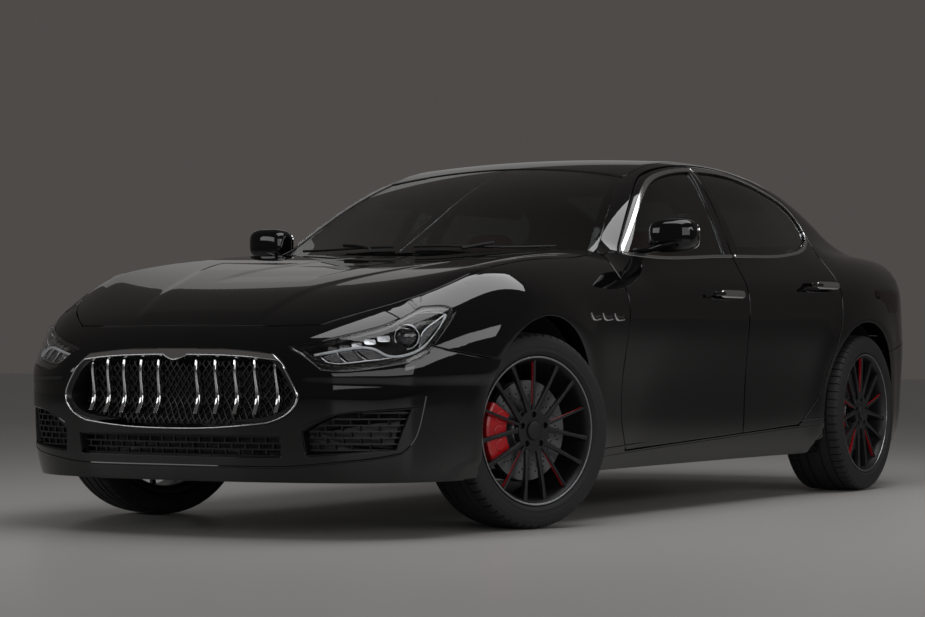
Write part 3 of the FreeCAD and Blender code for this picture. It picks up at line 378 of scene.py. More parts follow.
def mesh(name, made, material, body, right=False, replace=()):
    """Sets a piece on its body: points in mm, faces, and directions where the piece has them."""
    p, faces, d = made
    if right:
        p, faces = p * (1, -1, 1), [tuple(q)[::-1] for q in faces]
    m = bpy.data.meshes.new(name)
    m.from_pydata([tuple(q) for q in p / 1000], [], [tuple(q) for q in faces])
    if d is None:
        b = bmesh.new()
        b.from_mesh(m)
        bmesh.ops.recalc_face_normals(b, faces=b.faces)
        b.to_mesh(m)
        b.free()
    else:
        m.shade_smooth()
        m.normals_split_custom_set_from_vertices([tuple(q) for q in (d * (1, -1, 1) if right else d)])
    m.materials.append(material)
    o = bpy.data.objects.new(name, m)
    bpy.context.scene.collection.objects.link(o)
    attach(o, body)
    if replace:
        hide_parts(*replace)
    return o


def pair(name, made, material, body, replace=()):
    """The piece on the left and its mirror image on the right; names that end in _ take the side's name."""
    sides = []
    for right, end in ((False, "left"), (True, "right")):
        one, *old = (q + end if q.endswith("_") else q for q in (body, *replace))
        sides.append(mesh("%s_%s" % (name, end), made, material, one, right, old))
    return sides


def linear(code):
    """sRGB hex as the linear colour that the shaders take."""
    c = np.array([int(code[i:i + 2], 16) for i in (1, 3, 5)]) / 255
    return (*np.where(c <= 0.04045, c / 12.92, ((c + 0.055) / 1.055) ** 2.4).tolist(), 1.0)


def node(tree, kind, values=(), links=()):
    """Adds a node, sets its sockets or settings by name, and links sockets into it."""
    n = tree.nodes.new(kind)
    for key, value in dict(values).items():
        if key in n.inputs:
            n.inputs[key].default_value = value
        else:
            setattr(n, key, value)
    for key, socket in dict(links).items():
        tree.links.new(socket, n.inputs[key])
    return n


def finish(name, values):
    m = bpy.data.materials.new(name)
    m.use_nodes = True
    m.node_tree.nodes.clear()
    shader = node(m.node_tree, "ShaderNodeBsdfPrincipled", values)
    node(m.node_tree, "ShaderNodeOutputMaterial", links={"Surface": shader.outputs[0]})
    return m


# Two-coat paint: a jet black base under a clear polished lacquer, so all its light is reflection.
paint = finish("black_lacquered_paint", {"Base Color": linear("#060607"), "Roughness": 0.5,
                                         "Specular IOR Level": 0.0, "Coat Weight": 1.0,
                                         "Coat Roughness": 0.02, "Coat IOR": 1.5})
for n in frame["record"]["subparts"]:
    if n["material_slot"] == "paint":
        nodes[n["node"]].data.materials[0] = paint


def sill_line(x):
    return 250 + (990 - x) * 0.0355


def step(d, width=15.0):
    return 0.5 + 0.5 * np.tanh(d / width)


bulge = Curve((2340, 262), (2011, 337), (1543, 513), (1200, 640))
trough = Curve((1862, 207), (1560, 216), (984, 68))


def hood_form(x, y, z):
    """The body with the hood's raised middle and the two creases that run back to the screen."""
    high = np.clip((x - 1350) / 300, 0, 1) * np.clip((2335 - x) / 60, 0, 1)
    low = np.clip((x - 1000) / 200, 0, 1) * np.clip((1950 - x) / 150, 0, 1)
    return lower(x, y, z) + 5 * high * step(bulge(x) - np.abs(y)) - 4 * low * step(trough(x) - np.abs(y))


def nose_form(x, y, z):
    """The body with the crease from the lamp's lower corner to the wheel arch."""
    side_part = np.clip((np.abs(y) - 450) / 80, 0, 1) * np.clip((640 - z) / 70, 0, 1)
    return lower(x, y, z) + 6 * side_part * step(z - 541, 11.0)


HOOD = [[(2355, 0), (2352, 162), (2337, 360), (2304, 516)],
        [(2304, 516), (2200, 625), (1988, 752), (1770, 800), (1400, 806), (1000, 796), (790, 760)],
        [(790, 760), (864, 600), (942, 400), (990, 200), (1006, 0)]]
WINDSCREEN = [[(100, 0), (112, 300), (134, 556)],
              [(134, 556), (454, 652), (661, 718), (740, 742)],
              [(740, 742), (845, 600), (925, 400), (975, 200), (992, 0)]]
REAR_SCREEN = [[(-2118, 0), (-2094, 300), (-2040, 545)],
               [(-2040, 545), (-1700, 556), (-1400, 545), (-1205, 520)],
               [(-1205, 520), (-1228, 300), (-1235, 0)]]
ROOF = [[(90, 0), (102, 300), (122, 560)], [(122, 560), (-1195, 560)],
        [(-1195, 560), (-1218, 300), (-1225, 0)]]
LID = [[(-2520, 0), (-2520, 560)], [(-2520, 560), (-2088, 560)], [(-2088, 560), (-2130, 300), (-2150, 0)]]
LAMP = [[(-1382, 651), (-1254, 678), (-1119, 711), (-1057, 729), (-991, 759), (-923, 789)],
        [(-923, 789), (-881, 792), (-819, 785), (-805, 774)],
        [(-805, 774), (-825, 749), (-903, 662), (-957, 616), (-991, 604)],
        [(-991, 604), (-1132, 582), (-1245, 574), (-1292, 578)],
        [(-1292, 578), (-1346, 628)], [(-1346, 628), (-1382, 651)]]
GRILLE = [[(-60, 646), (0, 646), (217, 643), (392, 628)],
          [(392, 628), (440, 588), (478, 531), (497, 481), (473, 436), (383, 393)],
          [(383, 393), (200, 376), (0, 371), (-60, 371)], [(-60, 371), (-60, 646)]]
INTAKE = [[(-60, 353), (0, 353), (250, 352), (430, 350)], [(430, 350), (425, 280)],
          [(425, 280), (250, 278), (0, 278), (-60, 278)], [(-60, 278), (-60, 353)]]
SIDE_INTAKE = [[(500, 366), (560, 402), (625, 428)], [(625, 428), (739, 440), (815, 448)],
               [(815, 448), (775, 303)], [(775, 303), (640, 292), (510, 284)], [(510, 284), (500, 366)]]
TAIL = [[(588, 815), (720, 800), (960, 812)], [(960, 812), (960, 905)], [(960, 905), (760, 935), (588, 930)],
        [(588, 930), (588, 815)]]
FRONT_EDGE = [(745, sill_line(745)), (795, 350), (812, 450), (812, 600), (800, 800), (790, 950), (740, 1000),
              (640, 1012)]
SPLIT = [(-371, 1419), (-362, 1330), (-349, 1200), (-321, 1050), (-309, 900), (-304, 600),
         (-297, sill_line(-297))]
DOOR_F = [[(640, 1012), (443, 1154), (211, 1291), (62, 1356), (-110, 1394), (-225, 1408), (-364, 1418)],
          [(x + 7, z) for x, z in SPLIT], [(-290, sill_line(-290)), (745, sill_line(745))], FRONT_EDGE]
DOOR_R = [[(-371, 1419), (-587, 1422), (-834, 1405), (-1057, 1361), (-1200, 1324), (-1300, 1284),
           (-1364, 1224), (-1382, 1165), (-1345, 1100)],
          [(-1345, 1100), (-1285, 1045), (-1252, 960), (-1243, 900), (-1232, 800), (-1190, 680),
           (-1130, 570), (-1080, 490), (-1020, 420), (-950, 365), (-860, sill_line(-860))],
          [(-860, sill_line(-860)), (-297, sill_line(-297))], SPLIT[::-1]]
PANE_F = [[(600, 1022), (439, 1130), (208, 1267), (60, 1331), (-110, 1369), (-225, 1383), (-330, 1391)],
          [(-330, 1391), (-306, 1313), (-278, 1184), (-240, 1036)],
          [(-240, 1036), (0, 1026), (359, 1014), (600, 1022)]]
PANE_R = [[(-405, 1394), (-587, 1397), (-834, 1380), (-1057, 1336), (-1200, 1299), (-1284, 1262),
           (-1338, 1212), (-1354, 1170), (-1322, 1136)],
          [(-1322, 1136), (-1180, 1094), (-1000, 1067), (-831, 1053), (-395, 1040)],
          [(-395, 1040), (-407, 1211), (-404, 1336), (-405, 1394)]]
WING_SEAM = [(2168, 664), (2121, 656), (2058, 642), (1970, 628), (1888, 618), (1700, 604)]
TAIL_SEAM = [(-1600, 618), (-1900, 640), (-2100, 668), (-2250, 700), (-2700, 730)]


def polygon(points):
    return [[points[i - 1], points[i]] for i in range(len(points))]


def arch(ax, r=ARCH_R):
    return Area("side", [[(ax + r * cos(t), WHEEL_Z + r * sin(t)) for t in np.linspace(0, 2 * pi, 61)]])


def within(p, areas):
    """Which points lie in at least one of the areas."""
    return np.any([area(p) for area in areas], 0)


spine, deck = Spine(), Above(-2150, 800, 450)
over_hood = Above(1500, 100, 850)
from_above = Plan()
front_arch, rear_arch = arch(AXLE_F), arch(AXLE_R)
hood_in, hood_out = Area("plan", HOOD), Area("plan", HOOD, 4)
screen_in, screen_out = Area("plan", WINDSCREEN, -0.6), Area("plan", WINDSCREEN, 1.5)
rear_in, rear_out = Area("plan", REAR_SCREEN, -0.6), Area("plan", REAR_SCREEN, 1.5)
roof_in, roof_out = Area("plan", ROOF), Area("plan", ROOF, 2)
lid_in, lid_out = Area("plan", LID), Area("plan", LID, 4)
door_in = {"front": Area("side", DOOR_F), "rear": Area("side", DOOR_R)}
door_out = [Area("side", DOOR_F, 5.5), Area("side", DOOR_R, 5.5)]
pane = {"front": Area("side", PANE_F), "rear": Area("side", PANE_R)}
lamp_in, lamp_out = Area("corner", LAMP, -0.6), Area("corner", LAMP, 2)
tail_in, tail_out = Area("tail", TAIL, -0.6), Area("tail", TAIL, 2)
grille_out = Area("front", GRILLE)
intakes = [Area("front", INTAKE), Area("front", SIDE_INTAKE)]
low_cut = Area("side", polygon([(1130, sill_line(1130) - 7), (-1160, sill_line(-1160) - 7),
                                (-1160, 20), (1130, 20)]))
nose_part = Area("side", polygon([(2168, 1000)] + WING_SEAM + [(1700, 120), (2600, 120), (2600, 1000)]))
nose_over = Area("side", polygon([(2171, 1000)] + [(x + 3, z - 4) for x, z in WING_SEAM] + [(1700, 1000)]))
tail_part = Area("side", polygon(TAIL_SEAM + [(-2700, 120), (-1960, 120), (-1900, 400), (-1800, 560)]))
tail_over = Area("side", polygon([(x, z - 4) for x, z in TAIL_SEAM] + [(-2700, 1300), (-1600, 1300)]))
lid_low = Area("tail", polygon([(0, 765), (600, 765), (600, 1300), (0, 1300)]))
lid_gap = Area("tail", polygon([(0, 761), (564, 761), (564, 1300), (0, 1300)]))

foot = Area("side", polygon([(-845, 100), (-845, 972), (900, 972), (900, 100)]))
wing_cuts = [hood_out, door_out[0], front_arch, low_cut, nose_part, lamp_out]
wing = panel(lower, spine, (755, 2240, 400, 1360), wing_cuts,
             lambda p: ~within(p, wing_cuts) & (p[:, 0] > 757) & (p[:, 1] > 742) & (p[:, 2] > 216),
             proud=PROUD)
frame_cuts = [screen_out, rear_out, roof_out, lid_gap, tail_out, tail_part, rear_arch, low_cut, lid_out, foot]
frame_cuts += door_out
frame_side = panel(shell, spine, (-3000, 742, 300, 1330), frame_cuts,
                   lambda p: ~within(p, [q for q in frame_cuts if q is not lid_out])
                   & ~(lid_out(p) & (p[:, 2] > 761)) & (p[:, 1] > 5) & (p[:, 0] > -2600), proud=PROUD)
skirt_in = Area("side", polygon([(1130, sill_line(1130) - 12), (-1160, sill_line(-1160) - 12),
                                 (-1160, 188), (1130, 188)]))
skirt = panel(lower, spine, (-1150, 1120, 1150, 1480), [skirt_in, front_arch, rear_arch],
              lambda p: skirt_in(p) & ~within(p, [front_arch, rear_arch]), proud=PROUD)
for name, made in (("wing", wing), ("side_frame", frame_side), ("skirt", skirt)):
    pair(name, made, paint, "body")
for where, x0, x1 in (("front", -400, 860), ("rear", -1420, -260)):
    whole, hole = door_in[where], pane[where]
    made = panel(shell, spine, (x0, x1, 380, 1330), [whole, hole], lambda p: whole(p) & ~hole(p), proud=PROUD)
    pair("door_skin_" + where, made, paint, "door_%s_" % where)
hood = panel(hood_form, over_hood, (-620, 860, -825, 825), [hood_in], hood_in, mirror=True, proud=PROUD,
             grid=18)
mesh("hood_skin", hood, paint, "hood")
lid = panel(lower, deck, (-900, 160, -570, 570), [lid_in, lid_low], lambda p: lid_in(p) & (p[:, 2] > 765),
            mirror=True, proud=PROUD)
mesh("lid_skin", lid, paint, "boot_lid")
roof = panel(upper, from_above, (-1260, 140, -580, 580), [roof_in], roof_in, mirror=True, proud=PROUD)
mesh("roof_skin", roof, paint, "body")
nose_cuts = [hood_out, front_arch, nose_over, lamp_out, grille_out]
nose = panel(nose_form, spine, (1752, 1748 + spine.bend * pi, 600, 1500),
             nose_cuts + [Level(196, 1750), Level(836, 1750)] + intakes,
             lambda p: ~within(p, nose_cuts + intakes) & (p[:, 0] > 1800) & (p[:, 2] > 196) & (p[:, 2] < 836),
             mirror=True, proud=PROUD, grid=18)
mesh("nose_skin", nose, paint, "body")
TIP_Y, TIP_Z = (525, 620), 300
tip_holes = [Area("tail", [[(y + 44 * cos(t), TIP_Z + 44 * sin(t)) for t in np.linspace(0, 2 * pi, 41)]])
             for y in TIP_Y]
tail = panel(lower, spine, (-1698 - spine.bend * pi, -1702, 600, 1500),
             [rear_arch, tail_over, Level(209, -1700), Level(758, -1700)] + tip_holes,
             lambda p: ~within(p, tip_holes + [rear_arch]) & ~(tail_over(p) & (np.abs(p[:, 1]) > 566))
             & (p[:, 0] < -1800) & (p[:, 2] > 209) & (p[:, 2] < 758), mirror=True, proud=PROUD)
mesh("tail_skin", tail, paint, "body")


# Glass. Laminated screens glued into their flanges and tempered panes held by the doors, all tinted grey.
# A black ceramic border printed on the screens' inner face hides the glue.
def clear_to_lamps(m, tint):
    """Lets the lamps' light pass a glass finish, tinted, as thin panes do."""
    tree = m.node_tree
    shadow = node(tree, "ShaderNodeLightPath")
    passing = node(tree, "ShaderNodeBsdfTransparent", {"Color": linear(tint)})
    both = node(tree, "ShaderNodeMixShader", links={0: shadow.outputs["Is Shadow Ray"], 2: passing.outputs[0],
                                                    1: tree.nodes["Principled BSDF"].outputs[0]})
    tree.links.new(both.outputs[0], tree.nodes["Material Output"].inputs["Surface"])
    return m


# Clear grey, so the cabin shows darkly through it and the lamps mirror in it.
glass = clear_to_lamps(finish("grey_tinted_glass", {"Base Color": linear("#8C9193"), "Roughness": 0.0,
                                                    "IOR": 1.5, "Transmission Weight": 1.0}), "#B9BDBF")
# A deep black edge without depth.
ceramic = finish("black_ceramic_print", {"Base Color": linear("#050506"), "Roughness": 0.25, "IOR": 1.5})
for name, area, outline, span in (("windscreen", screen_in, WINDSCREEN, (40, 1010, -760, 760)),
                                  ("rear_screen", rear_in, REAR_SCREEN, (-2130, -1190, -570, 570))):
    made = panel(below(upper, 2), from_above, span, [area], area, hem=1, flange=5, mirror=True, back=True)
    mesh(name + "_glass", made, glass, "body", replace=[name])
    inner = Area("plan", outline, -38)
    made = panel(below(upper, 8.5), from_above, span, [area, inner], lambda p: area(p) & ~inner(p),
                 hem=0.2, flange=0.5, mirror=True)
    mesh(name + "_border", made, ceramic, "body")
for where, x0, x1 in (("front", -345, 640), ("rear", -1370, -385)):
    area = Area("side", {"front": PANE_F, "rear": PANE_R}[where], -0.4)
    made = panel(below(upper, 6), spine, (x0, x1, 380, 760), [area], area, hem=1, flange=4, back=True)
    pair("pane_" + where, made, glass, "door_%s_" % where, ["glass_%s_" % where])


# Bright trim. Pressed stainless strip, polished, clipped to the doors in one loop round the side windows.
# It is cut where the doors part.

# Mirrors the lamps in thin white lines.
chrome = finish("polished_stainless_trim", {"Base Color": linear("#DCDDDF"), "Metallic": 1.0,
                                            "Roughness": 0.09})
WINDOWS = [PANE_F[0] + PANE_R[0],
           [(-1322, 1136), (-1180, 1094), (-1000, 1067), (-831, 1053), (-395, 1040), (0, 1026),
            (359, 1014), (600, 1022)]]
ring_in, ring_out = Area("side", WINDOWS, 1), Area("side", WINDOWS, 14)
for where, x0, x1 in (("front", -380, 680), ("rear", -1400, -340)):
    whole = Area("side", {"front": DOOR_F, "rear": DOOR_R}[where], -2)
    made = panel(shell, spine, (x0, x1, 380, 800), [ring_in, ring_out, whole],
                 lambda p: ring_out(p) & ~ring_in(p) & whole(p), grid=14, hem=2.5, flange=5, proud=6)
    pair("window_trim_" + where, made, chrome, "door_%s_" % where)


def merge(*made):
    """Several pieces as one, each (points, faces, directions)."""
    points, faces, ways, n = [], [], [], 0
    for p, f, d in made:
        p = np.asarray(p, float)
        points.append(p)
        faces += [tuple(i + n for i in q) for q in f]
        ways.append(d)
        n += len(p)
    return np.concatenate(points), faces, None if any(d is None for d in ways) else np.concatenate(ways)


def loft(rings, caps=True, closed=False):
    """Skin over a row of rings that have the same number of points."""
    r = np.asarray(rings, float)
    k, n = r.shape[:2]
    faces = [(i * n + j, i * n + (j + 1) % n, (i + 1) % k * n + (j + 1) % n, (i + 1) % k * n + j)
             for i in range(k if closed else k - 1) for j in range(n)]
    if caps and not closed:
        faces += [tuple(range(n))[::-1], tuple(range((k - 1) * n, k * n))]
    return r.reshape(-1, 3), faces, None


def oval(n, power=2.0):
    """Points round a rounded square: power 2 is a circle, more is squarer."""
    t = np.linspace(0, 2 * pi, n, endpoint=False)
    return np.stack([np.sign(np.cos(t)) * np.abs(np.cos(t)) ** (2 / power),
                     np.sign(np.sin(t)) * np.abs(np.sin(t)) ** (2 / power)], 1)


def rod(path, r, n=10, closed=False, up=(0, 0, 1)):
    """Round bar along a line of points; r is one radius or one for each point."""
    p = np.asarray(path, float)
    t = np.roll(p, -1, 0) - np.roll(p, 1, 0)
    if not closed:
        t[0], t[-1] = p[1] - p[0], p[-1] - p[-2]
    t = unit(t)
    a = unit(np.cross(t, np.array(up, float)) + 1e-9)
    b = np.cross(a, t)
    c = oval(n)
    r = np.broadcast_to(r, len(p))
    return loft([p[i] + r[i] * (c[:, :1] * a[i] + c[:, 1:] * b[i]) for i in range(len(p))], closed=closed)


def smooth(points, n=40):
    """A smooth line of n points through a few."""
    p = np.array(points, float)
    d = np.concatenate([[0], np.cumsum(np.linalg.norm(np.diff(p, axis=0), axis=1))])
    t = np.linspace(0, d[-1], n)
    return np.stack([Curve(*zip(d, q))(t) for q in p.T], 1)


def soften(o, width, steps=2, angle=40):
    """Rounds an object's edges and shades it smoothly."""
    m = o.modifiers.new("edge_radius", "BEVEL")
    m.width, m.segments, m.limit_method, m.angle_limit = width / 1000, steps, "ANGLE", radians(angle)
    o.data.shade_smooth()
    m = o.modifiers.new("even_shading", "WEIGHTED_NORMAL")
    m.keep_sharp = True
    return o


# Door handles. Chromed bars, each bolted through the door skin at its two feet.
# Door mirrors. Painted plastic shells on a stalk that is screwed to the door, with a silvered glass.
for where, x0, x1, z in (("front", -214, 10, 868), ("rear", -1178, -952, 922)):
    xs = np.linspace(x0 - 4, x1 + 4, 21)
    t = np.abs(np.linspace(-1, 1, 21))
    size = np.sqrt(np.maximum(1 - t ** 8, 0.04))
    y = side(xs, np.full(21, float(z))) + 30 - 4 * t ** 4
    c = oval(16, 3)
    made = loft([np.stack([np.full(16, xs[i]), y[i] + 8.5 * size[i] * c[:, 0], z + 17 * size[i] * c[:, 1]], 1)
                 for i in range(21)])
    for o in pair("handle_" + where, made, chrome, "door_%s_" % where):
        soften(o, 1)
# A plain mirror.
mirror_glass = finish("silvered_mirror_glass", {"Base Color": linear("#E6E8EA"), "Metallic": 1.0,
                                                "Roughness": 0.02})
ys = np.linspace(860, 1051, 25)
t = (ys - 955) / 96
body_size = (1 - np.abs(t) ** 3.2) ** (1 / 3.2)
c = oval(28, 3.4)
rings = []
for y, k, q in zip(ys, np.maximum(body_size, 0.05), t):
    x, z = c[:, 0] * (62 - 5 * q) * k, c[:, 1] * (66 - 4 * q) * k
    rings.append(np.stack([472 + np.where(x < 0, x * 0.8, x) - 5 * q, np.full(28, y), 1089 + 4 * q + z], 1))
shell_piece = loft(rings)
stalk = loft([np.stack([500 + c[:, 0] * a, np.full(28, y), z + c[:, 1] * b], 1)
              for y, z, a, b in ((806, 1026, 44, 14), (850, 1030, 36, 12), (890, 1038, 34, 12),
                                 (930, 1050, 34, 16))])
face = oval(40, 4.0)
pane_ring = [np.stack([np.full(40, x), 957 + face[:, 0] * (84 * g), 1088 + face[:, 1] * 54 * g], 1)
             for x, g in ((423, 0.985), (420.5, 1.0), (420.5, 0.97), (422, 0.94))]
for o in pair("mirror_shell", merge(shell_piece, stalk), paint, "door_front_", ["mirror_"]):
    soften(o, 0.5)
pair("mirror_pane", loft(pane_ring), mirror_glass, "door_front_")


# Head lamps. A clear cover is glued to a black housing that is bolted behind wing and nose.
# In it: a bezel, a lit guide, cells with bright ribs, and a projector lens in its shroud.

# Hardly seen but for its gloss.
cover = finish("clear_polycarbonate_cover", {"Base Color": linear("#FFFFFF"), "Roughness": 0.0, "IOR": 1.3,
                                             "Transmission Weight": 1.0})
# Smoky black with soft lights, so that the lamp looks deep.
bezel = finish("gloss_black_abs", {"Base Color": linear("#17181A"), "Roughness": 0.2, "IOR": 1.5})
# Bright grey with blurred lights.
reflector = finish("metallised_reflector", {"Base Color": linear("#B4B7BB"), "Metallic": 1.0,
                                            "Roughness": 0.24})
# A milky white line with a faint glow of its own.
guide = finish("acrylic_light_guide", {"Base Color": linear("#B9BDC1"), "Roughness": 0.22, "IOR": 1.49,
                                       "Emission Color": linear("#F4F8FF"), "Emission Strength": 0.08})
# A dark bulging lens with one sharp light on it.
lens_glass = finish("projector_lens_glass", {"Base Color": linear("#20242A"), "Roughness": 0.02, "IOR": 1.52,
                                             "Coat Weight": 1.0, "Coat Roughness": 0.02})


def in_corner(points, depth):
    """Places in the lamp, from the lamp outline's own numbers, at a depth under the skin."""
    q = np.array(points, float)
    r = Area.r
    start = np.stack([(1700 - q[:, 0]) * r, (1700 + q[:, 0]) * r, q[:, 1]], 1)
    return cast(below(lower, depth), start, np.tile((r, r, 0.0), (len(q), 1)))


lamp_span = (1900, 2600, 820, 1110)
lamp_hole = Area("corner", LAMP, -15)
lamp_cover = panel(below(lower, -1.5), spine, lamp_span, [lamp_in], lamp_in, grid=16, hem=1.5, flange=4,
                   back=True)
lamp_bezel = panel(below(lower, 10), spine, lamp_span, [lamp_in, lamp_hole],
                   lambda p: lamp_in(p) & ~lamp_hole(p), grid=16, hem=1.5, flange=60)
lamp_floor = panel(below(lower, 52), spine, lamp_span, [lamp_in], lamp_in, grid=20, hem=0.5, flange=1)
led = [(-1306, 624), (-1256, 634), (-1177, 648), (-1122, 647), (-1098, 638), (-1078, 626), (-1038, 619),
       (-1001, 625), (-964, 638), (-926, 661), (-890, 694), (-862, 726), (-840, 762)]
led_line = rod(in_corner(smooth(led, 60), 22), 4.5)
rib_lines = [[(-1287, 619), (-1272, 603), (-1249, 596), (-1202, 597), (-1136, 605), (-1075, 612),
              (-1045, 617)],
             [(-1233, 636), (-1225, 614), (-1202, 597)], [(-1178, 646), (-1164, 624), (-1136, 605)],
             [(-840, 766), (-888, 772), (-928, 766), (-969, 750), (-1018, 728)],
             [(-840, 764), (-884, 737), (-928, 708), (-943, 687), (-951, 658), (-960, 637)]]
ribs = merge(*[rod(in_corner(smooth(q, 24), 24), 3.2) for q in rib_lines])
cells = []
for s0, z0, k in ((-1244, 644, 0.8), (-1205, 651, 0.85), (-1165, 659, 0.9), (-1121, 669, 1.0),
                  (-1074, 680, 1.15)):
    rim_ring = [(s0 + a * 19 * k, z0 + b * 9 * k) for a, b in oval(16, 5)]
    cells.append(loft([in_corner(rim_ring, 30), in_corner([(s0 + (a - s0) * 0.55, z0 + (b - z0) * 0.5)
                                                          for a, b in rim_ring], 46)], caps=True))
for corners in (((-1276, 618), (-1240, 632), (-1212, 602), (-1250, 601)),
                ((-1226, 634), (-1186, 643), (-1146, 609), (-1196, 602)),
                ((-1170, 644), (-1118, 640), (-1078, 617), (-1130, 610))):
    q = np.array(corners, float)
    cells.append(loft([in_corner(q, 32), in_corner(q * 0.6 + 0.4 * q.mean(0), 46)]))
side_cell = in_corner([(-850, 744), (-900, 698), (-955, 645), (-944, 690), (-925, 714), (-884, 740)], 34)
centre = in_corner([(-991, 686)], 40)[0]
ahead = unit(np.array([[0.86, 0.5, 0.0]]))[0]
across = np.cross((0, 0, 1), ahead)


def ring_at(r, forward, n=32, power=2.0):
    c = oval(n, power)
    return centre + ahead * forward + r * (c[:, :1] * across + c[:, 1:] * np.array((0, 0, 1.0)))


dome = loft([ring_at(33 * cos(t), 4 + 15 * sin(t)) for t in np.linspace(0, 1.5, 9)])
shroud = loft([ring_at(39, -22), ring_at(39, 6), ring_at(44, 8), ring_at(46, 5), ring_at(46, -22)])
bright = loft([ring_at(38, 5), ring_at(39, 9), ring_at(42, 10.5), ring_at(44.5, 8), ring_at(44.5, 3)],
              caps=False)
pair("lamp_cover", lamp_cover, cover, "body", ["headlamps"])
pair("lamp_bezel", lamp_bezel, bezel, "body")
pair("lamp_floor", lamp_floor, bezel, "body")
pair("lamp_cells", merge(*cells, loft([side_cell, side_cell - ahead * 6])), reflector, "body")
for name, made, material, slot in (("guide", led_line, guide, "lamp_clear"),
                                   ("shroud", shroud, bezel, "black_plastic"),
                                   ("ribs", merge(ribs, bright), reflector, "chrome"),
                                   ("lens", dome, lens_glass, "lamp_clear")):
    for o in pair("lamp_" + name, made, material, "body"):
        o.data.shade_smooth()


# Grille. A chromed plastic surround clipped into the nose, with ten blades that lean back to a knee.
# A black diamond mesh fills the well behind them.

# Dull black that still shows its edges.
black_abs = finish("moulded_black_abs", {"Base Color": linear("#08080A"), "Roughness": 0.42, "IOR": 1.5})


def on_nose(points, depth):
    """Places on the nose, from (y, z), at a depth behind the skin measured along the car."""
    q = np.array(points, float)
    start = np.stack([np.full(len(q), 1500.0), q[:, 0], q[:, 1]], 1)
    return cast(lower, start, np.tile((1.0, 0.0, 0.0), (len(q), 1))) - np.stack(
        [np.broadcast_to(depth, len(q)), 0 * q[:, 0], 0 * q[:, 0]], 1)


hollow = Curve((640, 22), (607, 26), (560, 40), (480, 56), (440, 42), (415, 26), (371, 16))
nose_span = (spine.front + spine.bend * 0.75, spine.front + spine.bend * (pi - 0.75), 760, 1190)
grille_in, grille_bright, grille_well = (Area("front", GRILLE, d) for d in (-0.8, -4.6, -22))
top_strip = Area("front", [[(-60, 648), (0, 648), (217, 646), (392, 632), (424, 604)],
                           [(424, 604), (392, 608), (217, 621), (52, 624)],
                           [(52, 624), (0, 606), (-52, 624), (-60, 648)]])
mesh("grille_surround", panel(lower, spine, nose_span, [grille_in, grille_bright, top_strip],
                              lambda p: grille_in(p) & (~grille_bright(p) | top_strip(p)), grid=14, hem=3,
                              flange=16, proud=5, mirror=True), chrome, "body", replace=["grille"])
half = Area("front", GRILLE, -2.7).loop
half = np.roll(half, -int(np.argmin(np.hypot(half[:, 0], half[:, 1] - 300))), 0)
half = half[(half[:, 0] > -8) & (half[:, 1] < 598)]
lower_edge = on_nose(half[np.argsort(np.arctan2(half[:, 0], 560 - half[:, 1]))], -6)
beads = merge(rod(lower_edge, 2.8, 10), rod(lower_edge * (1, -1, 1), 2.8, 10))
mesh("grille_bead", beads, chrome, "body").data.shade_smooth()
mesh("grille_well", panel(below(lower, 8), spine, nose_span, [grille_in, grille_well],
                          lambda p: grille_in(p) & ~grille_well(p), grid=16, hem=1, flange=80, mirror=True),
     black_abs, "body")
back_ring = on_nose(np.concatenate([grille_in.loop, (grille_in.loop * (-1, 1))[::-1]]), 96)
mesh("grille_back", loft([back_ring, back_ring - (4, 0, 0)]), black_abs, "body")
blades = []
for y in (80, 158, 236, 313, 390):
    zs = np.concatenate([np.linspace(609 - (y > 350) * 10, 486, 9), np.linspace(476, 424 + (y > 350) * 6, 5)])
    line = on_nose([(y + (609 - z) * 0.03, z) for z in zs], hollow(zs) - 8)
    width = 6.4 + 2.0 * np.clip((540 - zs) / 80, 0, 1)
    blades.append(loft([p + np.array([(-26, -w * 0.7, 0), (-26, w * 0.7, 0), (-4, w, 0), (0, w * 0.5, 0),
                                      (0, -w * 0.5, 0), (-4, -w, 0)]) for p, w in zip(line, width)]))
blades += [(p * (1, -1, 1), [q[::-1] for q in f], d) for p, f, d in blades]
soften(mesh("grille_blades", merge(*blades), chrome, "body"), 0.8, 1, 50)


def lattice(area, lines, depth, half, thick):
    """Thin ribs along straight (y, z) lines, kept inside an outline and set behind the skin."""
    out = []
    for a, b in lines:
        n = max(int(np.hypot(b[0] - a[0], b[1] - a[1]) / 11), 2)
        q = np.linspace(a, b, n)
        keep = encloses(area.loop, np.abs(q))
        for run in np.split(np.arange(n), np.where(np.diff(keep.astype(int)) != 0)[0] + 1):
            if keep[run[0]] and len(run) > 1:
                p = on_nose(q[run], depth(q[run][:, 1]))
                w = unit(np.array([[0, a[1] - b[1], b[0] - a[0]]], float))[0] * half
                out.append(loft([[c - w, c + w, c + w - (thick, 0, 0), c - w - (thick, 0, 0)] for c in p]))
    return merge(*out)


diagonals = [((y, 360), (y + 215, 650)) for y in range(-760, 560, 27)]
diagonals += [((y + 215, 360), (y, 650)) for y in range(-760, 560, 27)]
mesh("grille_mesh", lattice(Area("front", GRILLE, -10), diagonals, lambda z: hollow(z) + 22, 2.0, 9),
     black_abs, "body")


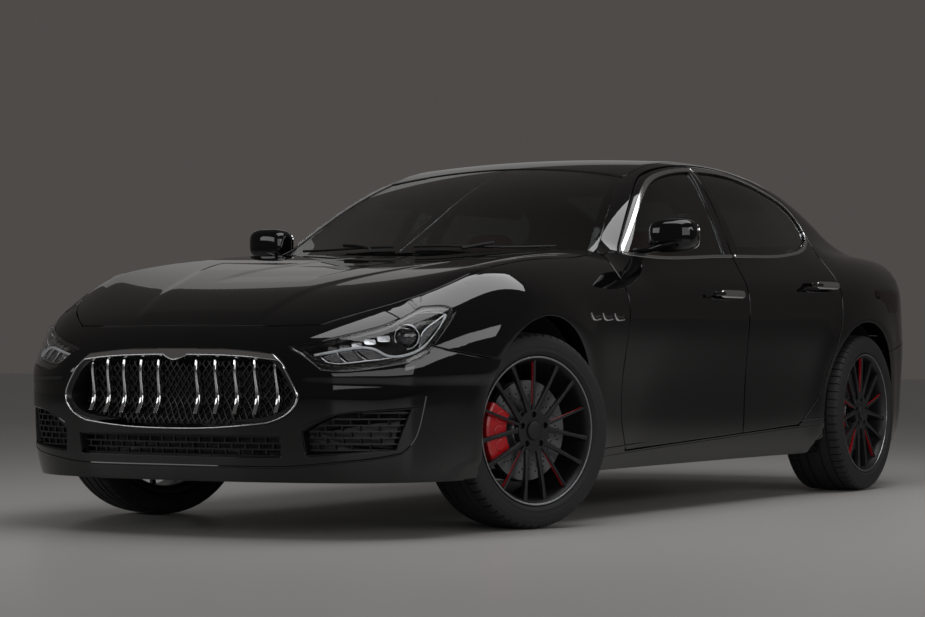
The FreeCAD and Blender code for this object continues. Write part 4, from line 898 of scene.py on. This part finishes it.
# Lower grilles. Brick mesh moulded in black plastic, snapped into the middle and side openings of the nose.
# A dark duct closes each opening behind its mesh.
bricks = []
for k, z in enumerate(range(262, 460, 21)):
    bricks.append(((-860, z), (860, z)))
    bricks += [((y, z), (y, z + 21)) for y in range(-860 + 26 * (k % 2), 860, 52)]
short = [(a, ((a[0] + b[0]) / 2 if a[0] == b[0] else b[0], b[1])) for a, b in bricks]
ducts = []
for k, (area, outline) in enumerate(zip(intakes, (INTAKE, SIDE_INTAKE))):
    inner = Area("front", outline, -3)
    made = lattice(inner, short, lambda z: 20 + 0 * z, 2.4, 11)
    mesh("brick_mesh_%d" % k, made, black_abs, "body")
    ducts.append(panel(below(lower, 3), spine, (1900, 3006, 900, 1260), [area, inner],
                       lambda p: area(p) & ~inner(p), grid=16, hem=0.6, flange=46))
    ring = on_nose(area.loop, 52)
    ducts.append(loft([ring, ring - (3, 0, 0)]))
mesh("duct_left", merge(*[(p, f, None) for p, f, d in ducts]), black_abs, "body",
     replace=["lower_grilles"])
mesh("duct_right", merge(*[(p, f, None) for p, f, d in ducts]), black_abs, "body", True)


# Tyres. Moulded rubber, seated on 20 inch rims by their beads.
# Four grooves run round the tread, its shoulders are cut into blocks, and a rib guards the rim.
def grained(name, values, grain, depth):
    """A finish with a fine even grain on it, its size and depth in millimetres."""
    m = finish(name, values)
    tree = m.node_tree
    place = node(tree, "ShaderNodeTexCoord")
    noise = node(tree, "ShaderNodeTexNoise", {"Scale": 1000 / grain, "Detail": 3.0},
                 {"Vector": place.outputs["Object"]})
    bump = node(tree, "ShaderNodeBump", {"Distance": depth / 1000}, {"Height": noise.outputs[0]})
    tree.links.new(bump.outputs["Normal"], tree.nodes["Principled BSDF"].inputs["Normal"])
    return m


def crisp(o, angle=35):
    """Smooth faces that part at edges sharper than the angle."""
    o.data.shade_smooth()
    o.data.set_sharp_from_angle(angle=radians(angle))
    return o


def turned(profile, angles=48, start=0.0, end=2 * pi, drop=None):
    """Ring or arc round the wheel's axis from a closed profile of (y, radius); angle 0 is ahead."""
    q = np.array(profile, float)
    t = np.linspace(start, end, angles) if end - start < 6 else np.linspace(0, 2 * pi, angles, endpoint=False)
    t = t if drop is None else drop[0]
    r = np.tile(q[:, 1], (len(t), 1)) - (0 if drop is None else drop[1])
    rings = np.stack([r * np.cos(t)[:, None], np.tile(q[:, 0], (len(t), 1)), r * np.sin(t)[:, None]], 2)
    return loft(rings, closed=end - start > 6)


# Place, side, half the tyre's width, its radius, and how far the wheel is steered.
WHEELS = [("front", "left", 122.5, 352.0, -19.07), ("front", "right", 122.5, 352.0, -23.07),
          ("rear", "left", 140.0, 353.0, 0.0), ("rear", "right", 140.0, 353.0, 0.0)]
RIM_R, DISC_R, KINGPIN_Y, WHEEL_Y = 268.0, 180.0, 802.0, {"front": 817.5, "rear": 826.5}


def at_wheel(made, where, end, angle):
    """Moves a piece made at the origin, outer face towards +Y, to its hub, and steers it."""
    p, faces, d = made
    p = p + (AXLE_F if where == "front" else AXLE_R, WHEEL_Y[where], WHEEL_Z)
    if end == "right":
        p, faces = p * (1, -1, 1), [tuple(q)[::-1] for q in faces]
    pin = np.array((AXLE_F, KINGPIN_Y if end == "left" else -KINGPIN_Y, 0))
    a = radians(angle)
    turn = np.array(((cos(a), -sin(a), 0), (sin(a), cos(a), 0), (0, 0, 1)))
    return (p - pin) @ turn.T + pin, faces, d


# Charcoal with a dull sheen and a fine grain.
rubber = grained("moulded_tyre_rubber", {"Base Color": linear("#151516"), "Roughness": 0.72, "IOR": 1.52},
                 1.2, 0.05)
PITCHES, CUT = 60, 6.5
for where, end, w, radius, angle in WHEELS:
    half = [(w - 24, 256), (w - 23.5, RIM_R + 0.6), (w - 10, RIM_R + 4), (w - 5, RIM_R + 10),
            (w - 0.8, RIM_R + 15), (w, RIM_R + 19), (w - 1.6, RIM_R + 24), (w - 0.8, RIM_R + 31),
            (w - 0.2, RIM_R + 36), (w - 1.2, RIM_R + 42), (w - 2.4, radius - 31), (w - 2.6, radius - 28.6),
            (w - 4.5, radius - 24), (w - 8, radius - 15), (w - 11, radius - 10.5), (w - 16, radius - 6.6),
            (w - 24, radius - 3.8), (w * 0.56 + 6, radius - 1.6), (w * 0.56 + 4.5, radius - 9),
            (w * 0.56 - 4.5, radius - 9), (w * 0.56 - 6, radius - 1.3), (w * 0.24 + 6, radius - 0.2),
            (w * 0.24 + 4.5, radius - 7.6), (w * 0.24 - 4.5, radius - 7.6), (w * 0.24 - 6, radius)]
    profile = np.array(half + [(-y, r) for y, r in reversed(half)], float)
    u = np.array([0.0, 0.36, 0.72, 0.74, 0.85, 0.87])
    t = ((np.arange(PITCHES)[:, None] + u) * 2 * pi / PITCHES).ravel()
    cut = np.tile((u > 0.73) & (u < 0.86), PITCHES)
    block = (np.abs(profile[:, 0]) > w * 0.56 + 5.5) & (profile[:, 1] > radius - 12)
    lift_out = np.where(cut[:, None] & block[None, :], CUT, 0.0)
    crisp(mesh("tread_%s_%s" % (where, end), at_wheel(turned(profile, drop=(t, lift_out)), where, end, angle),
               rubber, "wheel_%s_%s" % (where, end), replace=["tyre_%s_%s" % (where, end)]), 28)


# Rims. Cast alloy in satin black, held by five bolts round a plain cap, its lip in lighter metal as a painted
# highlight.
# Five pairs of spokes, with a thinner one between each pair that has a red edge.

# Dark grey with a soft metal sheen along each spoke.
satin_black = finish("satin_black_alloy_lacquer", {"Base Color": linear("#2B2B2D"), "Metallic": 0.6,
                                                   "Roughness": 0.42})
# Light grey metal on the rim's lip: a painted highlight for the bright line that light draws on the satin
# black edge. It also mirrors the lamps softly, as metal does.
lip_highlight_alloy = finish("alloy_lip_painted_highlight", {"Base Color": linear("#9C9EA1"), "Metallic": 1.0, "Roughness": 0.28})
# Fine red edges between the dark spokes.
red_lacquer = finish("red_wheel_lacquer", {"Base Color": linear("#A3101A"), "Roughness": 0.3, "IOR": 1.5})
# Dark dull bolt heads.
dark_steel = finish("black_oxide_steel", {"Base Color": linear("#3A3A3C"), "Metallic": 1.0,
                                          "Roughness": 0.42})


def stamped(outline, holes, y0, y1):
    """Plate across the wheel's axis: outline and holes as rings of (x, z), between y0 and y1."""
    loops = [np.array(q, float) for q in [outline] + holes]
    flat, links = [], []
    for q in loops:
        n = len(flat)
        flat += [Vector(c) for c in q]
        links += [(n + i, n + (i + 1) % len(q)) for i in range(len(q))]
    verts, _, faces, _, _, _ = geometry.delaunay_2d_cdt(flat, links, [], 0, 0.01)
    v = np.array([tuple(c) for c in verts])
    tri = [tuple(q) for q in faces]
    mid = np.array([v[list(q)].mean(0) for q in tri])
    keep = encloses(loops[0], mid)
    for q in loops[1:]:
        keep &= ~encloses(q, mid)
    tri = [q for q, k in zip(tri, keep) if k]
    n = len(v)
    p = np.concatenate([np.stack([v[:, 0], np.full(n, y), v[:, 1]], 1) for y in (y1, y0)])
    sides = {(q[i - 1], q[i]) for q in tri for i in range(len(q))}
    walls = [(b, a, a + n, b + n) for a, b in sides if (b, a) not in sides]
    return p, tri + [tuple(i + n for i in q)[::-1] for q in tri] + walls, None


def circle(r, n, x=0.0, z=0.0):
    return [(x + r * cos(t), z + r * sin(t)) for t in np.linspace(0, 2 * pi, n, endpoint=False)]


def drum(rings, n, x=0.0, z=0.0):
    """Round form across the wheel's axis over rings of (y, radius)."""
    return loft([[(a, y, b) for a, b in circle(r, n, x, z)] for y, r in rings])


def spoke(a, ends, radii, widths, face, back):
    """Tapered bar along the ray at angle a; side shift, width and front face change with radius."""
    along, across = np.array((cos(a), 0, sin(a))), np.array((-sin(a), 0, cos(a)))
    rings = []
    for r, w, y in zip(radii, widths, face):
        s = np.interp(r, (radii[0], radii[-1]), ends)
        h, b = w / 2, min(3.0, w * 0.3)
        section = ((b - h, y), (h - b, y), (h, y - b), (h - 1.5, back), (1.5 - h, back), (-h, y - b))
        rings.append([along * r + across * (s + c) + np.array((0, q, 0)) for c, q in section])
    return loft(rings)


for where, end, w, radius, angle in WHEELS:
    out = w - 18
    barrel = turned([(w - 10, RIM_R), (w - 10, 262), (w - 14, 258), (w - 24, 252), (w - 34, 247),
                     (w - 60, 242), (-w + 50, 238), (-w + 20, 240), (-w + 10, 252), (-w + 10, RIM_R),
                     (-w + 18, RIM_R), (-w + 23.3, 254), (w - 23.3, 254), (w - 18, RIM_R)], 96)
    lip = turned([(w - 10.5, 267.6), (w - 8.8, 267), (w - 8.4, 264), (w - 9.2, 261.6), (w - 11, 261)], 96)
    black, red = [barrel], []
    for k in range(5):
        twin, single = radians(54 + 72 * k), radians(90 + 72 * k)
        for s in (-1, 1):
            black.append(spoke(twin, (25 * s, 48 * s), (64, 130, 200, 253), (25, 16, 14, 21),
                               (out - 13, out - 8, out - 4, out - 2), out - 26))
        black.append(spoke(single, (0, 0), (70, 130, 200, 253), (12, 11, 9.5, 10),
                           (out - 12, out - 8, out - 5, out - 3), out - 24))
        red.append(spoke(single, (0, 0), (92, 150, 200, 246), (13.6, 12.6, 11.2, 11.4),
                         (out - 15, out - 12, out - 9, out - 8), out - 22))
    lugs = [(57.15 * cos(radians(90 + 72 * k)), 57.15 * sin(radians(90 + 72 * k))) for k in range(5)]
    lug_holes = [circle(11, 20, *q) for q in lugs] + [circle(34.5, 40)]
    black.append(stamped(circle(74, 60), lug_holes, out - 40, out - 11))
    collar = [(out - 11, 36), (out - 5, 35), (out - 5, 33.2), (out - 40, 33.2), (out - 40, 36)]
    black.append(turned(collar, 48))
    bolts = [drum(((out - 40, 9.0), (out - 24, 9.0), (out - 22.5, 7.5)), 6, *q) for q in lugs]
    cap = drum(((out - 24, 33), (out - 4.5, 33), (out - 3, 31.5), (out - 1.5, 22), (out - 1, 8)), 40)
    body, name = "wheel_%s_%s" % (where, end), "%s_%s" % (where, end)
    piece = mesh("rim_face_" + name, at_wheel(merge(*black), where, end, angle), satin_black, body,
                 replace=["rim_" + name])
    soften(piece, 0.7, 1, 50)
    for kind, made, material, slot in (("lip", lip, lip_highlight_alloy, "dark_alloy"),
                                       ("accent", merge(*red), red_lacquer, "dark_alloy"),
                                       ("bolts", merge(*bolts), dark_steel, "steel"),
                                       ("cap", cap, satin_black, "dark_alloy")):
        crisp(mesh("%s_%s" % (kind, name), at_wheel(made, where, end, angle), material, body))


# Brakes. Cast iron discs, turned and drilled, clamped between rim and hub.
# Red enamelled calipers bulge over three pistons, and are bolted to the knuckles or the rear axle.

# Grey metal with a broad soft light.
iron = finish("turned_cast_iron", {"Base Color": linear("#77797C"), "Metallic": 1.0, "Roughness": 0.34})
# Full red with a wet gloss.
red_enamel = finish("red_caliper_enamel", {"Base Color": linear("#B50F18"), "Roughness": 0.28, "IOR": 1.5,
                                           "Coat Weight": 0.4, "Coat Roughness": 0.1})
holes = [circle(3.6, 8, (112 + 14 * k) * cos(a), (112 + 14 * k) * sin(a))
         for i in range(24) for k in range(4) for a in [2 * pi / 24 * (i + 0.3 * k)]]
for where, end, w, radius, angle in WHEELS:
    made = merge(stamped(circle(DISC_R, 96), holes + [circle(90, 60)], 44, 52),
                 turned([(22, DISC_R), (22, 90), (30, 90), (30, DISC_R)], 72),
                 turned([(30, 172), (30, 96), (44, 96), (44, 172)], 72),
                 turned([(0, 74), (0, 70), (58, 40), (58, 62), (62, 66), (62, 71), (59, 74)], 72),
                 turned([(52, 92), (22, 92), (22, 72), (52, 72)], 72),
                 turned([(-58, 28), (-58, 4), (60, 4), (60, 40), (1, 28)], 40))
    crisp(mesh("brake_disc_%s_%s" % (where, end), at_wheel(made, where, end, angle), iron,
               "wheel_%s_%s" % (where, end), replace=["disc_%s_%s" % (where, end)]))
    arc = radians(31)
    made = [turned([(4, 116), (8, 112), (19, 112), (19, 186), (55, 186), (55, 112), (68, 112), (72, 116),
                    (72, 192), (64, 203), (12, 203), (4, 196)], 15, -arc, arc)]
    for a in (-0.34, 0.0, 0.34):
        made.append(drum(((70, 23), (73, 23), (74.6, 20.5), (75, 17)), 28, 150 * cos(a), 150 * sin(a)))
    front = where == "front"
    body, replaced = ("knuckle_" + end, "caliper_" + end) if front else ("body", "rear_calipers")
    soften(mesh("caliper_body_%s_%s" % (where, end), at_wheel(merge(*made), where, end, angle), red_enamel,
                body, replace=[replaced]), 2, 2, 50)


# Seats. Foam under red hide, with sewn pleats and side bolsters, on black plastic bases bolted to the floor.
# The rear bench is one base with three places.

# Dark red with a soft sheen broken by its grain.
red_hide = grained("red_grained_hide", {"Base Color": linear("#7C1219"), "Roughness": 0.48, "IOR": 1.5},
                   2.2, 0.12)
# The same hide in black.
black_hide = grained("black_grained_hide", {"Base Color": linear("#171718"), "Roughness": 0.5, "IOR": 1.5},
                     2.2, 0.12)
# Flat black, a little lighter where it curves.
base_plastic = grained("grained_black_polypropylene", {"Base Color": linear("#121213"), "Roughness": 0.6,
                                                       "IOR": 1.5}, 1.0, 0.08)


def pillow(middle, along, size, pleats=0, square=3.4, rows=49):
    """Crowned closed form that lies along one direction in the x-z plane; size is half of each extent."""
    a = unit(np.array([along], float))[0]
    up = np.cross(a, (0, 1, 0))
    up = -up if up[2] < 0 or (abs(up[2]) < 0.5 and up[0] < 0) else up
    t = np.sin(np.linspace(-pi / 2, pi / 2, rows))
    k = np.maximum(1 - np.abs(t) ** square, 2e-3) ** (1 / square)
    c = oval(40, 3.0)
    dent = np.abs(np.cos(pi * pleats * (t + 1) / 2)) ** 14 * (np.abs(t) < 0.82)
    seam = 1 - 0.07 * dent if pleats else np.ones(rows)
    return loft([np.array(middle) + a * size[0] * q + np.outer(c[:, 0] * size[1] * g, (0, 1, 0))
                 + np.outer(c[:, 1] * size[2] * g * s * (1 - 0.12 * np.abs(c[:, 0]) ** 3), up)
                 for q, g, s in zip(t, k, seam)])


def slab(x0, x1, y0, y1, z0, z1):
    return loft([[(x, y0, z0), (x, y1, z0), (x, y1, z1), (x, y0, z1)] for x in (x0, x1)])


lean = (-125, 0, 530)
for kind, made, fill in (
        ("cushion", pillow((20, 380, 452), (1, 0, 0.06), (240, 182, 55), 7), 0.7),
        ("cushion_side_in", pillow((20, 196, 462), (1, 0, 0.06), (236, 36, 58)), 0.8),
        ("cushion_side_out", pillow((20, 564, 462), (1, 0, 0.06), (236, 36, 58)), 0.8),
        ("back", pillow((-301, 380, 735), lean, (262, 168, 52), 8), 0.7),
        ("back_side_in", pillow((-286, 206, 720), lean, (232, 33, 60)), 0.8),
        ("back_side_out", pillow((-286, 554, 720), lean, (232, 33, 60)), 0.8),
        ("head_rest", pillow((-401, 380, 1088), (-20, 0, 60), (58, 112, 36)), 0.8)):
    for o in pair("seat_" + kind, made, red_hide, "body"):
        crisp(o, 60)
made = merge(slab(-218, 178, 192, 568, 232, 402), rod([(-378, 330, 970), (-398, 330, 1060)], 6),
             rod([(-378, 430, 970), (-398, 430, 1060)], 6))
for o in pair("seat_base", made, base_plastic, "body", ["front_seats"]):
    soften(o, 4)
for part, x, z, along, length, height, pleats in (("seat", -828, 450, (1, 0, -0.06), 176, 46, 5),
                                                  ("back", -1128, 742, (-165, 0, 515), 262, 47, 8)):
    outer = pillow((x, 420, z), along, (length, 205, height), pleats)
    middle = pillow((x, 0, z), along, (length, 206, height), pleats)
    sides = pair("bench_%s_side" % part, outer, red_hide, "body")
    for o in sides + [mesh("bench_%s_middle_left" % part, middle, red_hide, "body")]:
        crisp(o, 60)
soften(mesh("bench_base", slab(-1030, -690, -622, 622, 229, 415), base_plastic, "body",
            replace=["rear_bench"]), 6)


# Dashboard. Foam under black hide, bolted to the hinge posts, with two dark screens and bright air vents.
# A console with a lever runs back between the seats, and the steering wheel stands on its column.

# Black glass, switched off.
screen_glass = finish("dark_display_glass", {"Base Color": linear("#07080A"), "Roughness": 0.05, "IOR": 1.5})
profile = smooth([(978, 600), (900, 596), (760, 602), (690, 650), (640, 702), (614, 780), (612, 830),
                  (640, 882), (700, 912), (770, 930), (860, 936), (950, 890), (978, 858)], 44)
made = loft([np.insert(profile, 1, y, 1) for y in (-716, -500, -200, 200, 500, 716)])
crisp(mesh("dash_pad", made, black_hide, "body", replace=["dashboard"]), 40)
t = np.linspace(0, pi, 15)
cowl = [np.stack([np.full(15, x), 380 - 150 * np.cos(t), 900 + h * np.sin(t)], 1)
        for x, h in ((600, 44), (760, 34))]
hub, axis, sideways = np.array((452.0, 380.0, 860.0)), np.array((-0.883, 0, 0.469)), np.array((0, 1.0, 0))
made = merge(loft([np.concatenate([q, (q - (0, 0, 5))[::-1]]) for q in cowl]),
             slab(-136, 780, -106, 106, 232, 520), slab(-136, 300, -100, 100, 520, 552),
             slab(640, 780, -108, 108, 400, 640), rod([hub - axis * q for q in (18, 215)], 31, 20))
soften(mesh("dash_console", made, base_plastic, "body"), 5, 2, 40)
rest = pillow((20, 0, 560), (1, 0, 0), (150, 92, 20))
crisp(mesh("arm_rest", rest, black_hide, "body"), 60)
made = merge(slab(604, 611, -118, 118, 770, 880), slab(640, 646, 262, 498, 868, 912))
soften(mesh("dash_screens", made, screen_glass, "body"), 2)
vents = [slab(606, 616, y - 52, y + 52, z, z + 4)
         for y in (-620, -180, 180, 620) for z in (812, 822, 832, 842)]
made = merge(*vents, rod([(330, 0, 545), (322, 0, 640)], 9), rod([(322, 0, 625), (318, 0, 668)], 19, 16))
soften(mesh("dash_vents", made, reflector, "body"), 1)
rise = np.cross(axis, sideways)


def on_wheel(r, n, shift=0.0):
    """Ring of n points round the steering column, shifted along it."""
    a = np.linspace(0, 2 * pi, n, endpoint=False)[:, None]
    return hub + axis * shift + r * (np.cos(a) * sideways + np.sin(a) * rise)


arms = [loft([hub + axis * c + way * r + np.outer((-w, w, w, -w), wide) + np.outer((-6, -6, 6, 6), axis)
              for r, w, c in ((40, 22, 0), (110, 15, -3), (172, 18, 0))])
        for way, wide in ((sideways, rise), (-sideways, rise), (-np.sign(rise[2]) * rise, sideways))]
boss = loft([on_wheel(r, 28, q) for q, r in ((-15, 50), (8, 54), (15, 48), (17.5, 30))])
soften(mesh("steering_hoop", merge(rod(on_wheel(182, 64), 14.5, 14, True, axis), boss, *arms), black_hide,
            "body", replace=["steering_wheel"]), 2, 2, 50)


# Cabin linings. Door cards in black hide with a red insert and a padded arm rest, clipped to the doors.
# Black loop carpet lies on the floor.

# Rough black without any gloss.
carpet = grained("black_loop_carpet", {"Base Color": linear("#141415"), "Roughness": 0.95, "IOR": 1.45},
                 3.0, 0.9)
for where, x0, x1 in (("front", -270, 600), ("rear", -1010, -420)):
    inner = min(v.co.y for v in nodes["door_%s_left" % where].data.vertices if v.co.z < 0.85) * 1000
    body = "door_%s_" % where
    card = slab(x0, x1, inner - 7, inner + 2, 330, 900)
    insert = slab(x0 + 60, x1 - 90, inner - 12, inner - 6, 640, 830)
    cards = pair("card_" + where, card, black_hide, body)
    for o in cards + pair("card_insert_" + where, insert, red_hide, body):
        soften(o, 3)
    made = pillow(((x0 + x1) / 2, inner - 22, 600), (1, 0, 0), ((x1 - x0) * 0.36, 24, 24))
    for o in pair("card_rest_" + where, made, black_hide, body):
        crisp(o, 60)
floor_top = [(940, -600), (940, 600), (-700, 640), (-1030, 640), (-1030, -640), (-700, -640)]
floor_sheet = loft([[(x, y, z) for x, y in floor_top] for z in (225.6, 230)])
mesh("carpet_sheet", floor_sheet, carpet, "body")


# Wheel arch liners. Shells of black felted plastic inside the wings and rear quarters.
# They are held to the steel by push clips.

# So dull that the wheel arches stay dark.
felt = grained("black_felted_liner", {"Base Color": linear("#0C0C0D"), "Roughness": 0.95, "IOR": 1.45},
               2.5, 0.4)
for where, ax, y0, y1 in (("front", AXLE_F, 560, 868), ("rear", AXLE_R, 590, 880)):
    t = np.linspace(radians(-18), radians(198), 49)
    rings = [[(ax + r * cos(a), y, WHEEL_Z + r * sin(a))
              for y, r in ((y0, 420), (y1, 420), (y1, 424), (y0, 424))]
             for a in t if WHEEL_Z + 420 * sin(a) > 232]
    for o in pair("liner_" + where, loft(rings), felt, "body"):
        crisp(o)


# Wing vents. Three dark slots in each front wing, each under a bright hooked strip.
# The strips are plastic, chromed, and pressed in from behind.
hooks, slots = [], []
for x0 in (1150, 1046, 942):
    q = smooth([(x0, 780), (x0 - 7, 766), (x0 - 20, 757), (x0 - 52, 754), (x0 - 86, 757)], 16)
    y = side(q[:, 0], q[:, 1])
    thick = np.interp(np.arange(16), (0, 4, 15), (2.5, 4.5, 3.0))
    hooks.append(rod(np.stack([q[:, 0], y + 2.5, q[:, 1]], 1), thick, 10))
    r = smooth([(x0 - 4, 776), (x0 - 26, 768), (x0 - 80, 768)], 9)
    slots.append(rod(np.stack([r[:, 0], side(r[:, 0], r[:, 1]) - 0.5, r[:, 1]], 1), 5.0, 8))
for o in pair("vent_hooks", merge(*hooks), chrome, "body"):
    crisp(o)
for o in pair("vent_slots", merge(*slots), black_abs, "body"):
    crisp(o)


# Lower nose and sills. Ribs moulded in the painted bumper and skirts, where the light draws a line.
# They run round the chin, round each side opening's outer end, and along the skirt.
def chin(points, depth, n=50):
    q = smooth(points, n)
    way = unit(q - (1750, 0, 0))
    way[:, 2] = 0
    return cast(below(lower, depth), np.stack([np.full(n, 1750.0), 0 * q[:, 1], q[:, 2]], 1), unit(way))


half_lip = [(2458, 0, 246), (2440, 306, 245), (2414, 442, 247), (2363, 605, 262), (2288, 729, 278),
            (2232, 785, 292)]
flick = [(2232, 785, 292), (2199, 810, 330), (2174, 829, 408), (2161, 838, 485)]
recess = [(2404, 500, 384), (2378, 614, 424), (2298, 735, 438), (2186, 825, 447)]
low_ribs = merge(rod(chin(half_lip, 1), 5.5), rod(chin(flick, 1, 24), 5.0), rod(chin(recess, 1, 24), 4.0))
for o in pair("chin_ribs", low_ribs, paint, "body"):
    crisp(o)
skirt_line = [(x, side(x, sill_line(x) + 16) + 1, sill_line(x) + 16) for x in np.linspace(1075, -1095, 60)]
for o in pair("skirt_rib", rod(skirt_line, 4.5), paint, "body"):
    crisp(o)


# Screen wipers. Two black steel arms on pivots under the hood's rear edge.
# Each presses a rubber blade on the glass.
arms = []
wipers = ((((806, 610), (885, 470), (938, 250), (962, 60)), ((1000, 300), (950, 330), (890, 380))),
          (((966, -30), (945, -210), (893, -430), (842, -540)), ((1004, -120), (960, -190), (912, -300))))
for blade, arm in wipers:
    for q, r, high in ((blade, 5, -7), (arm, 7, -17)):
        q = smooth(q, 24)
        arms.append(rod(cast(below(shell, high), np.stack([q[:, 0], q[:, 1], np.full(24, 320.0)], 1),
                             np.tile((0, 0, 1.0), (24, 1))), r, 8))
crisp(mesh("wiper_arms", merge(*arms), black_abs, "body"))


# Tail lamps. A dark red cover welded to a black housing that is screwed into the tail.
# A loop of light guide glows inside.

# Dark red, and redder where light comes through.
red_cover = finish("red_polycarbonate_cover", {"Base Color": linear("#B3141B"), "Roughness": 0.02, "IOR": 1.3,
                                               "Transmission Weight": 1.0})
# A red line that glows.
red_guide = finish("lit_red_light_guide", {"Base Color": linear("#C81018"), "Roughness": 0.3, "IOR": 1.49,
                                           "Emission Color": linear("#FF2018"), "Emission Strength": 0.6})
tail_span = (-3000, -1640, 500, 1330)
tail_cover = panel(below(lower, -1.5), spine, tail_span, [tail_in], tail_in, grid=16, hem=1.5, flange=4,
                   back=True)
tail_floor = panel(below(lower, 42), spine, tail_span, [tail_in], tail_in, grid=20, hem=0.5, flange=1)
tail_rim = Area("tail", TAIL, -9)
tail_frame = panel(below(lower, 6), spine, tail_span, [tail_in, tail_rim],
                   lambda p: tail_in(p) & ~tail_rim(p), grid=16, hem=1, flange=30)


def on_tail(points, depth):
    q = np.array(points, float)
    start = np.stack([np.full(len(q), -1600.0), q[:, 0], q[:, 1]], 1)
    return cast(below(lower, depth), start, np.tile((-1.0, 0.0, 0.0), (len(q), 1)))


loop = smooth([(610, 836), (720, 824), (850, 826), (905, 850), (880, 884), (770, 912), (630, 908),
               (606, 880)], 60)
pair("tail_cover", tail_cover, red_cover, "body", ["tail_lamps"])
pair("tail_floor", tail_floor, bezel, "body")
pair("tail_frame", tail_frame, bezel, "body")
for o in pair("tail_guide", rod(on_tail(loop, 20), 5.5), red_guide, "body"):
    crisp(o)


# Rear skirt. A diffuser in black plastic with upright fins, clipped under the bumper.
# The exhaust's four polished tips come out through it.
low_tail = Area("tail", [[(0, 205), (700, 205)], [(700, 205), (690, 262), (668, 352)],
                         [(668, 352), (560, 372), (300, 350), (0, 348)], [(0, 348), (0, 205)]])
tips = [Area("tail", [circle(46, 40, y, TIP_Z) + [(y + 46, TIP_Z)]]) for y in TIP_Y]
diffuser = panel(below(lower, -3), spine, (-1698 - spine.bend * pi, -1702, 1100, 1500), [low_tail] + tips,
                 lambda p: low_tail(p) & ~within(p, tips), grid=20, hem=2, flange=8, proud=PROUD, mirror=True)
mesh("diffuser_skin", diffuser, black_abs, "body")
fins = [loft([[(x - 8, y - 3, z), (x + 50, y - 3, z), (x + 50, y + 3, z), (x - 8, y + 3, z)]
              for x, _, z in on_tail([(y, 214), (y, 340)], 0)]) for y in range(-360, 361, 120)]
soften(mesh("diffuser_fins", merge(*fins), black_abs, "body"), 2)
pipes = []
for y in (-620, -525, 525, 620):
    pipes.append(loft([[(x, a, b) for a, b in circle(r, 40, y, TIP_Z)] for x, r in (
        (-2350, 39), (-2440, 39.5), (-2443, 38), (-2442, 36), (-2436, 35), (-2352, 34.5))], closed=True))
crisp(mesh("exhaust_tips", merge(*pipes), chrome, "body"))


# What carries the car: welded steel with an even black coat, a rough grey engine casting, a brushed exhaust.
# The shapes are the solids themselves, so only their finish is set here.

# Even black with a weak sheen.
coated = grained("black_electrocoated_steel", {"Base Color": linear("#17181A"), "Roughness": 0.5, "IOR": 1.5},
                 1.5, 0.03)
# Rough light grey metal.
cast_alloy = grained("sand_cast_aluminium", {"Base Color": linear("#9A9C9E"), "Metallic": 1.0,
                                             "Roughness": 0.5}, 1.8, 0.25)
# Grey metal with soft streaks of light.
stainless = finish("brushed_stainless_steel", {"Base Color": linear("#A7A8AA"), "Metallic": 1.0,
                                               "Roughness": 0.3})
for slot, material in (("structure", coated), ("engine_metal", cast_alloy), ("steel", stainless),
                       ("black_plastic", base_plastic)):
    for n in frame["record"]["subparts"]:
        if n["material_slot"] == slot:
            nodes[n["node"]].data.materials[0] = material


# Studio. A pale painted floor, a big soft lamp overhead and softer ones round the car.
# The camera stands where the photograph was taken from.

# Light grey with a faint sheen that fades into the distance.
floor_paint = finish("pale_studio_floor", {"Base Color": linear("#A9A7A5"), "Roughness": 0.35, "IOR": 1.45})
m = bpy.data.meshes.new("floor")
m.from_pydata([(-40, -40, 0), (40, -40, 0), (40, 40, 0), (-40, 40, 0)], [], [(0, 1, 2, 3)])
m.materials.append(floor_paint)
floor = bpy.data.objects.new("floor", m)
bpy.context.scene.collection.objects.link(floor)
world = bpy.data.worlds.new("studio")
bpy.context.scene.world = world
world.use_nodes = True
tree = world.node_tree
seen = node(tree, "ShaderNodeLightPath")
either = node(tree, "ShaderNodeMath", {"operation": "MAXIMUM"},
              {0: seen.outputs["Is Camera Ray"], 1: seen.outputs["Is Glossy Ray"]})
any_view = node(tree, "ShaderNodeMath", {"operation": "MAXIMUM"},
                {0: either.outputs[0], 1: seen.outputs["Is Transmission Ray"]})
tone = node(tree, "ShaderNodeMix", {"data_type": "RGBA"}, {0: any_view.outputs[0]})
tone.inputs[6].default_value = linear("#6E6E6E")  # the light that dull faces get from all round
tone.inputs[7].default_value = linear("#4E4B49")  # the backdrop
tree.links.new(tone.outputs[2], tree.nodes["Background"].inputs["Color"])
for name, place, aim, size, power in (("overhead", (0.3, 1.2, 4.8), (0, 0, 0), (6.8, 2.8), 190),
                                      ("left", (0.6, 6.5, 2.4), (0, 0, 0.8), (6.0, 1.0), 50),
                                      ("front", (7.0, -4.5, 2.8), (1.5, 0, 0.6), (5.0, 1.6), 60),
                                      ("corner", (8.9, 9.0, 2.9), (2.0, 0.5, 0.6), (15.0, 3.4), 260),
                                      ("behind", (-8.9, -6.0, 4.3), (1.5, 0, 0.9), (8.0, 2.6), 14)):
    lamp = bpy.data.lights.new(name, "AREA")
    lamp.shape = "RECTANGLE"
    lamp.size, lamp.size_y = size
    lamp.energy = power
    o = bpy.data.objects.new(name + "_softbox", lamp)
    bpy.context.scene.collection.objects.link(o)
    o.location = place
    o.rotation_euler = (Vector(aim) - Vector(place)).to_track_quat("-Z", "Y").to_euler()
bpy.context.scene.view_settings.view_transform = "Standard"
camera = bpy.data.cameras.new("photo_view")
camera.sensor_fit = "HORIZONTAL"
camera.sensor_width = 36
camera.lens = 104.53
o = bpy.data.objects.new("photo_view", camera)
bpy.context.scene.collection.objects.link(o)
o.location = (9.964, 5.547, 0.656)
o.rotation_euler = (radians(90.80), 0, radians(-239.67))
bpy.context.scene.camera = o
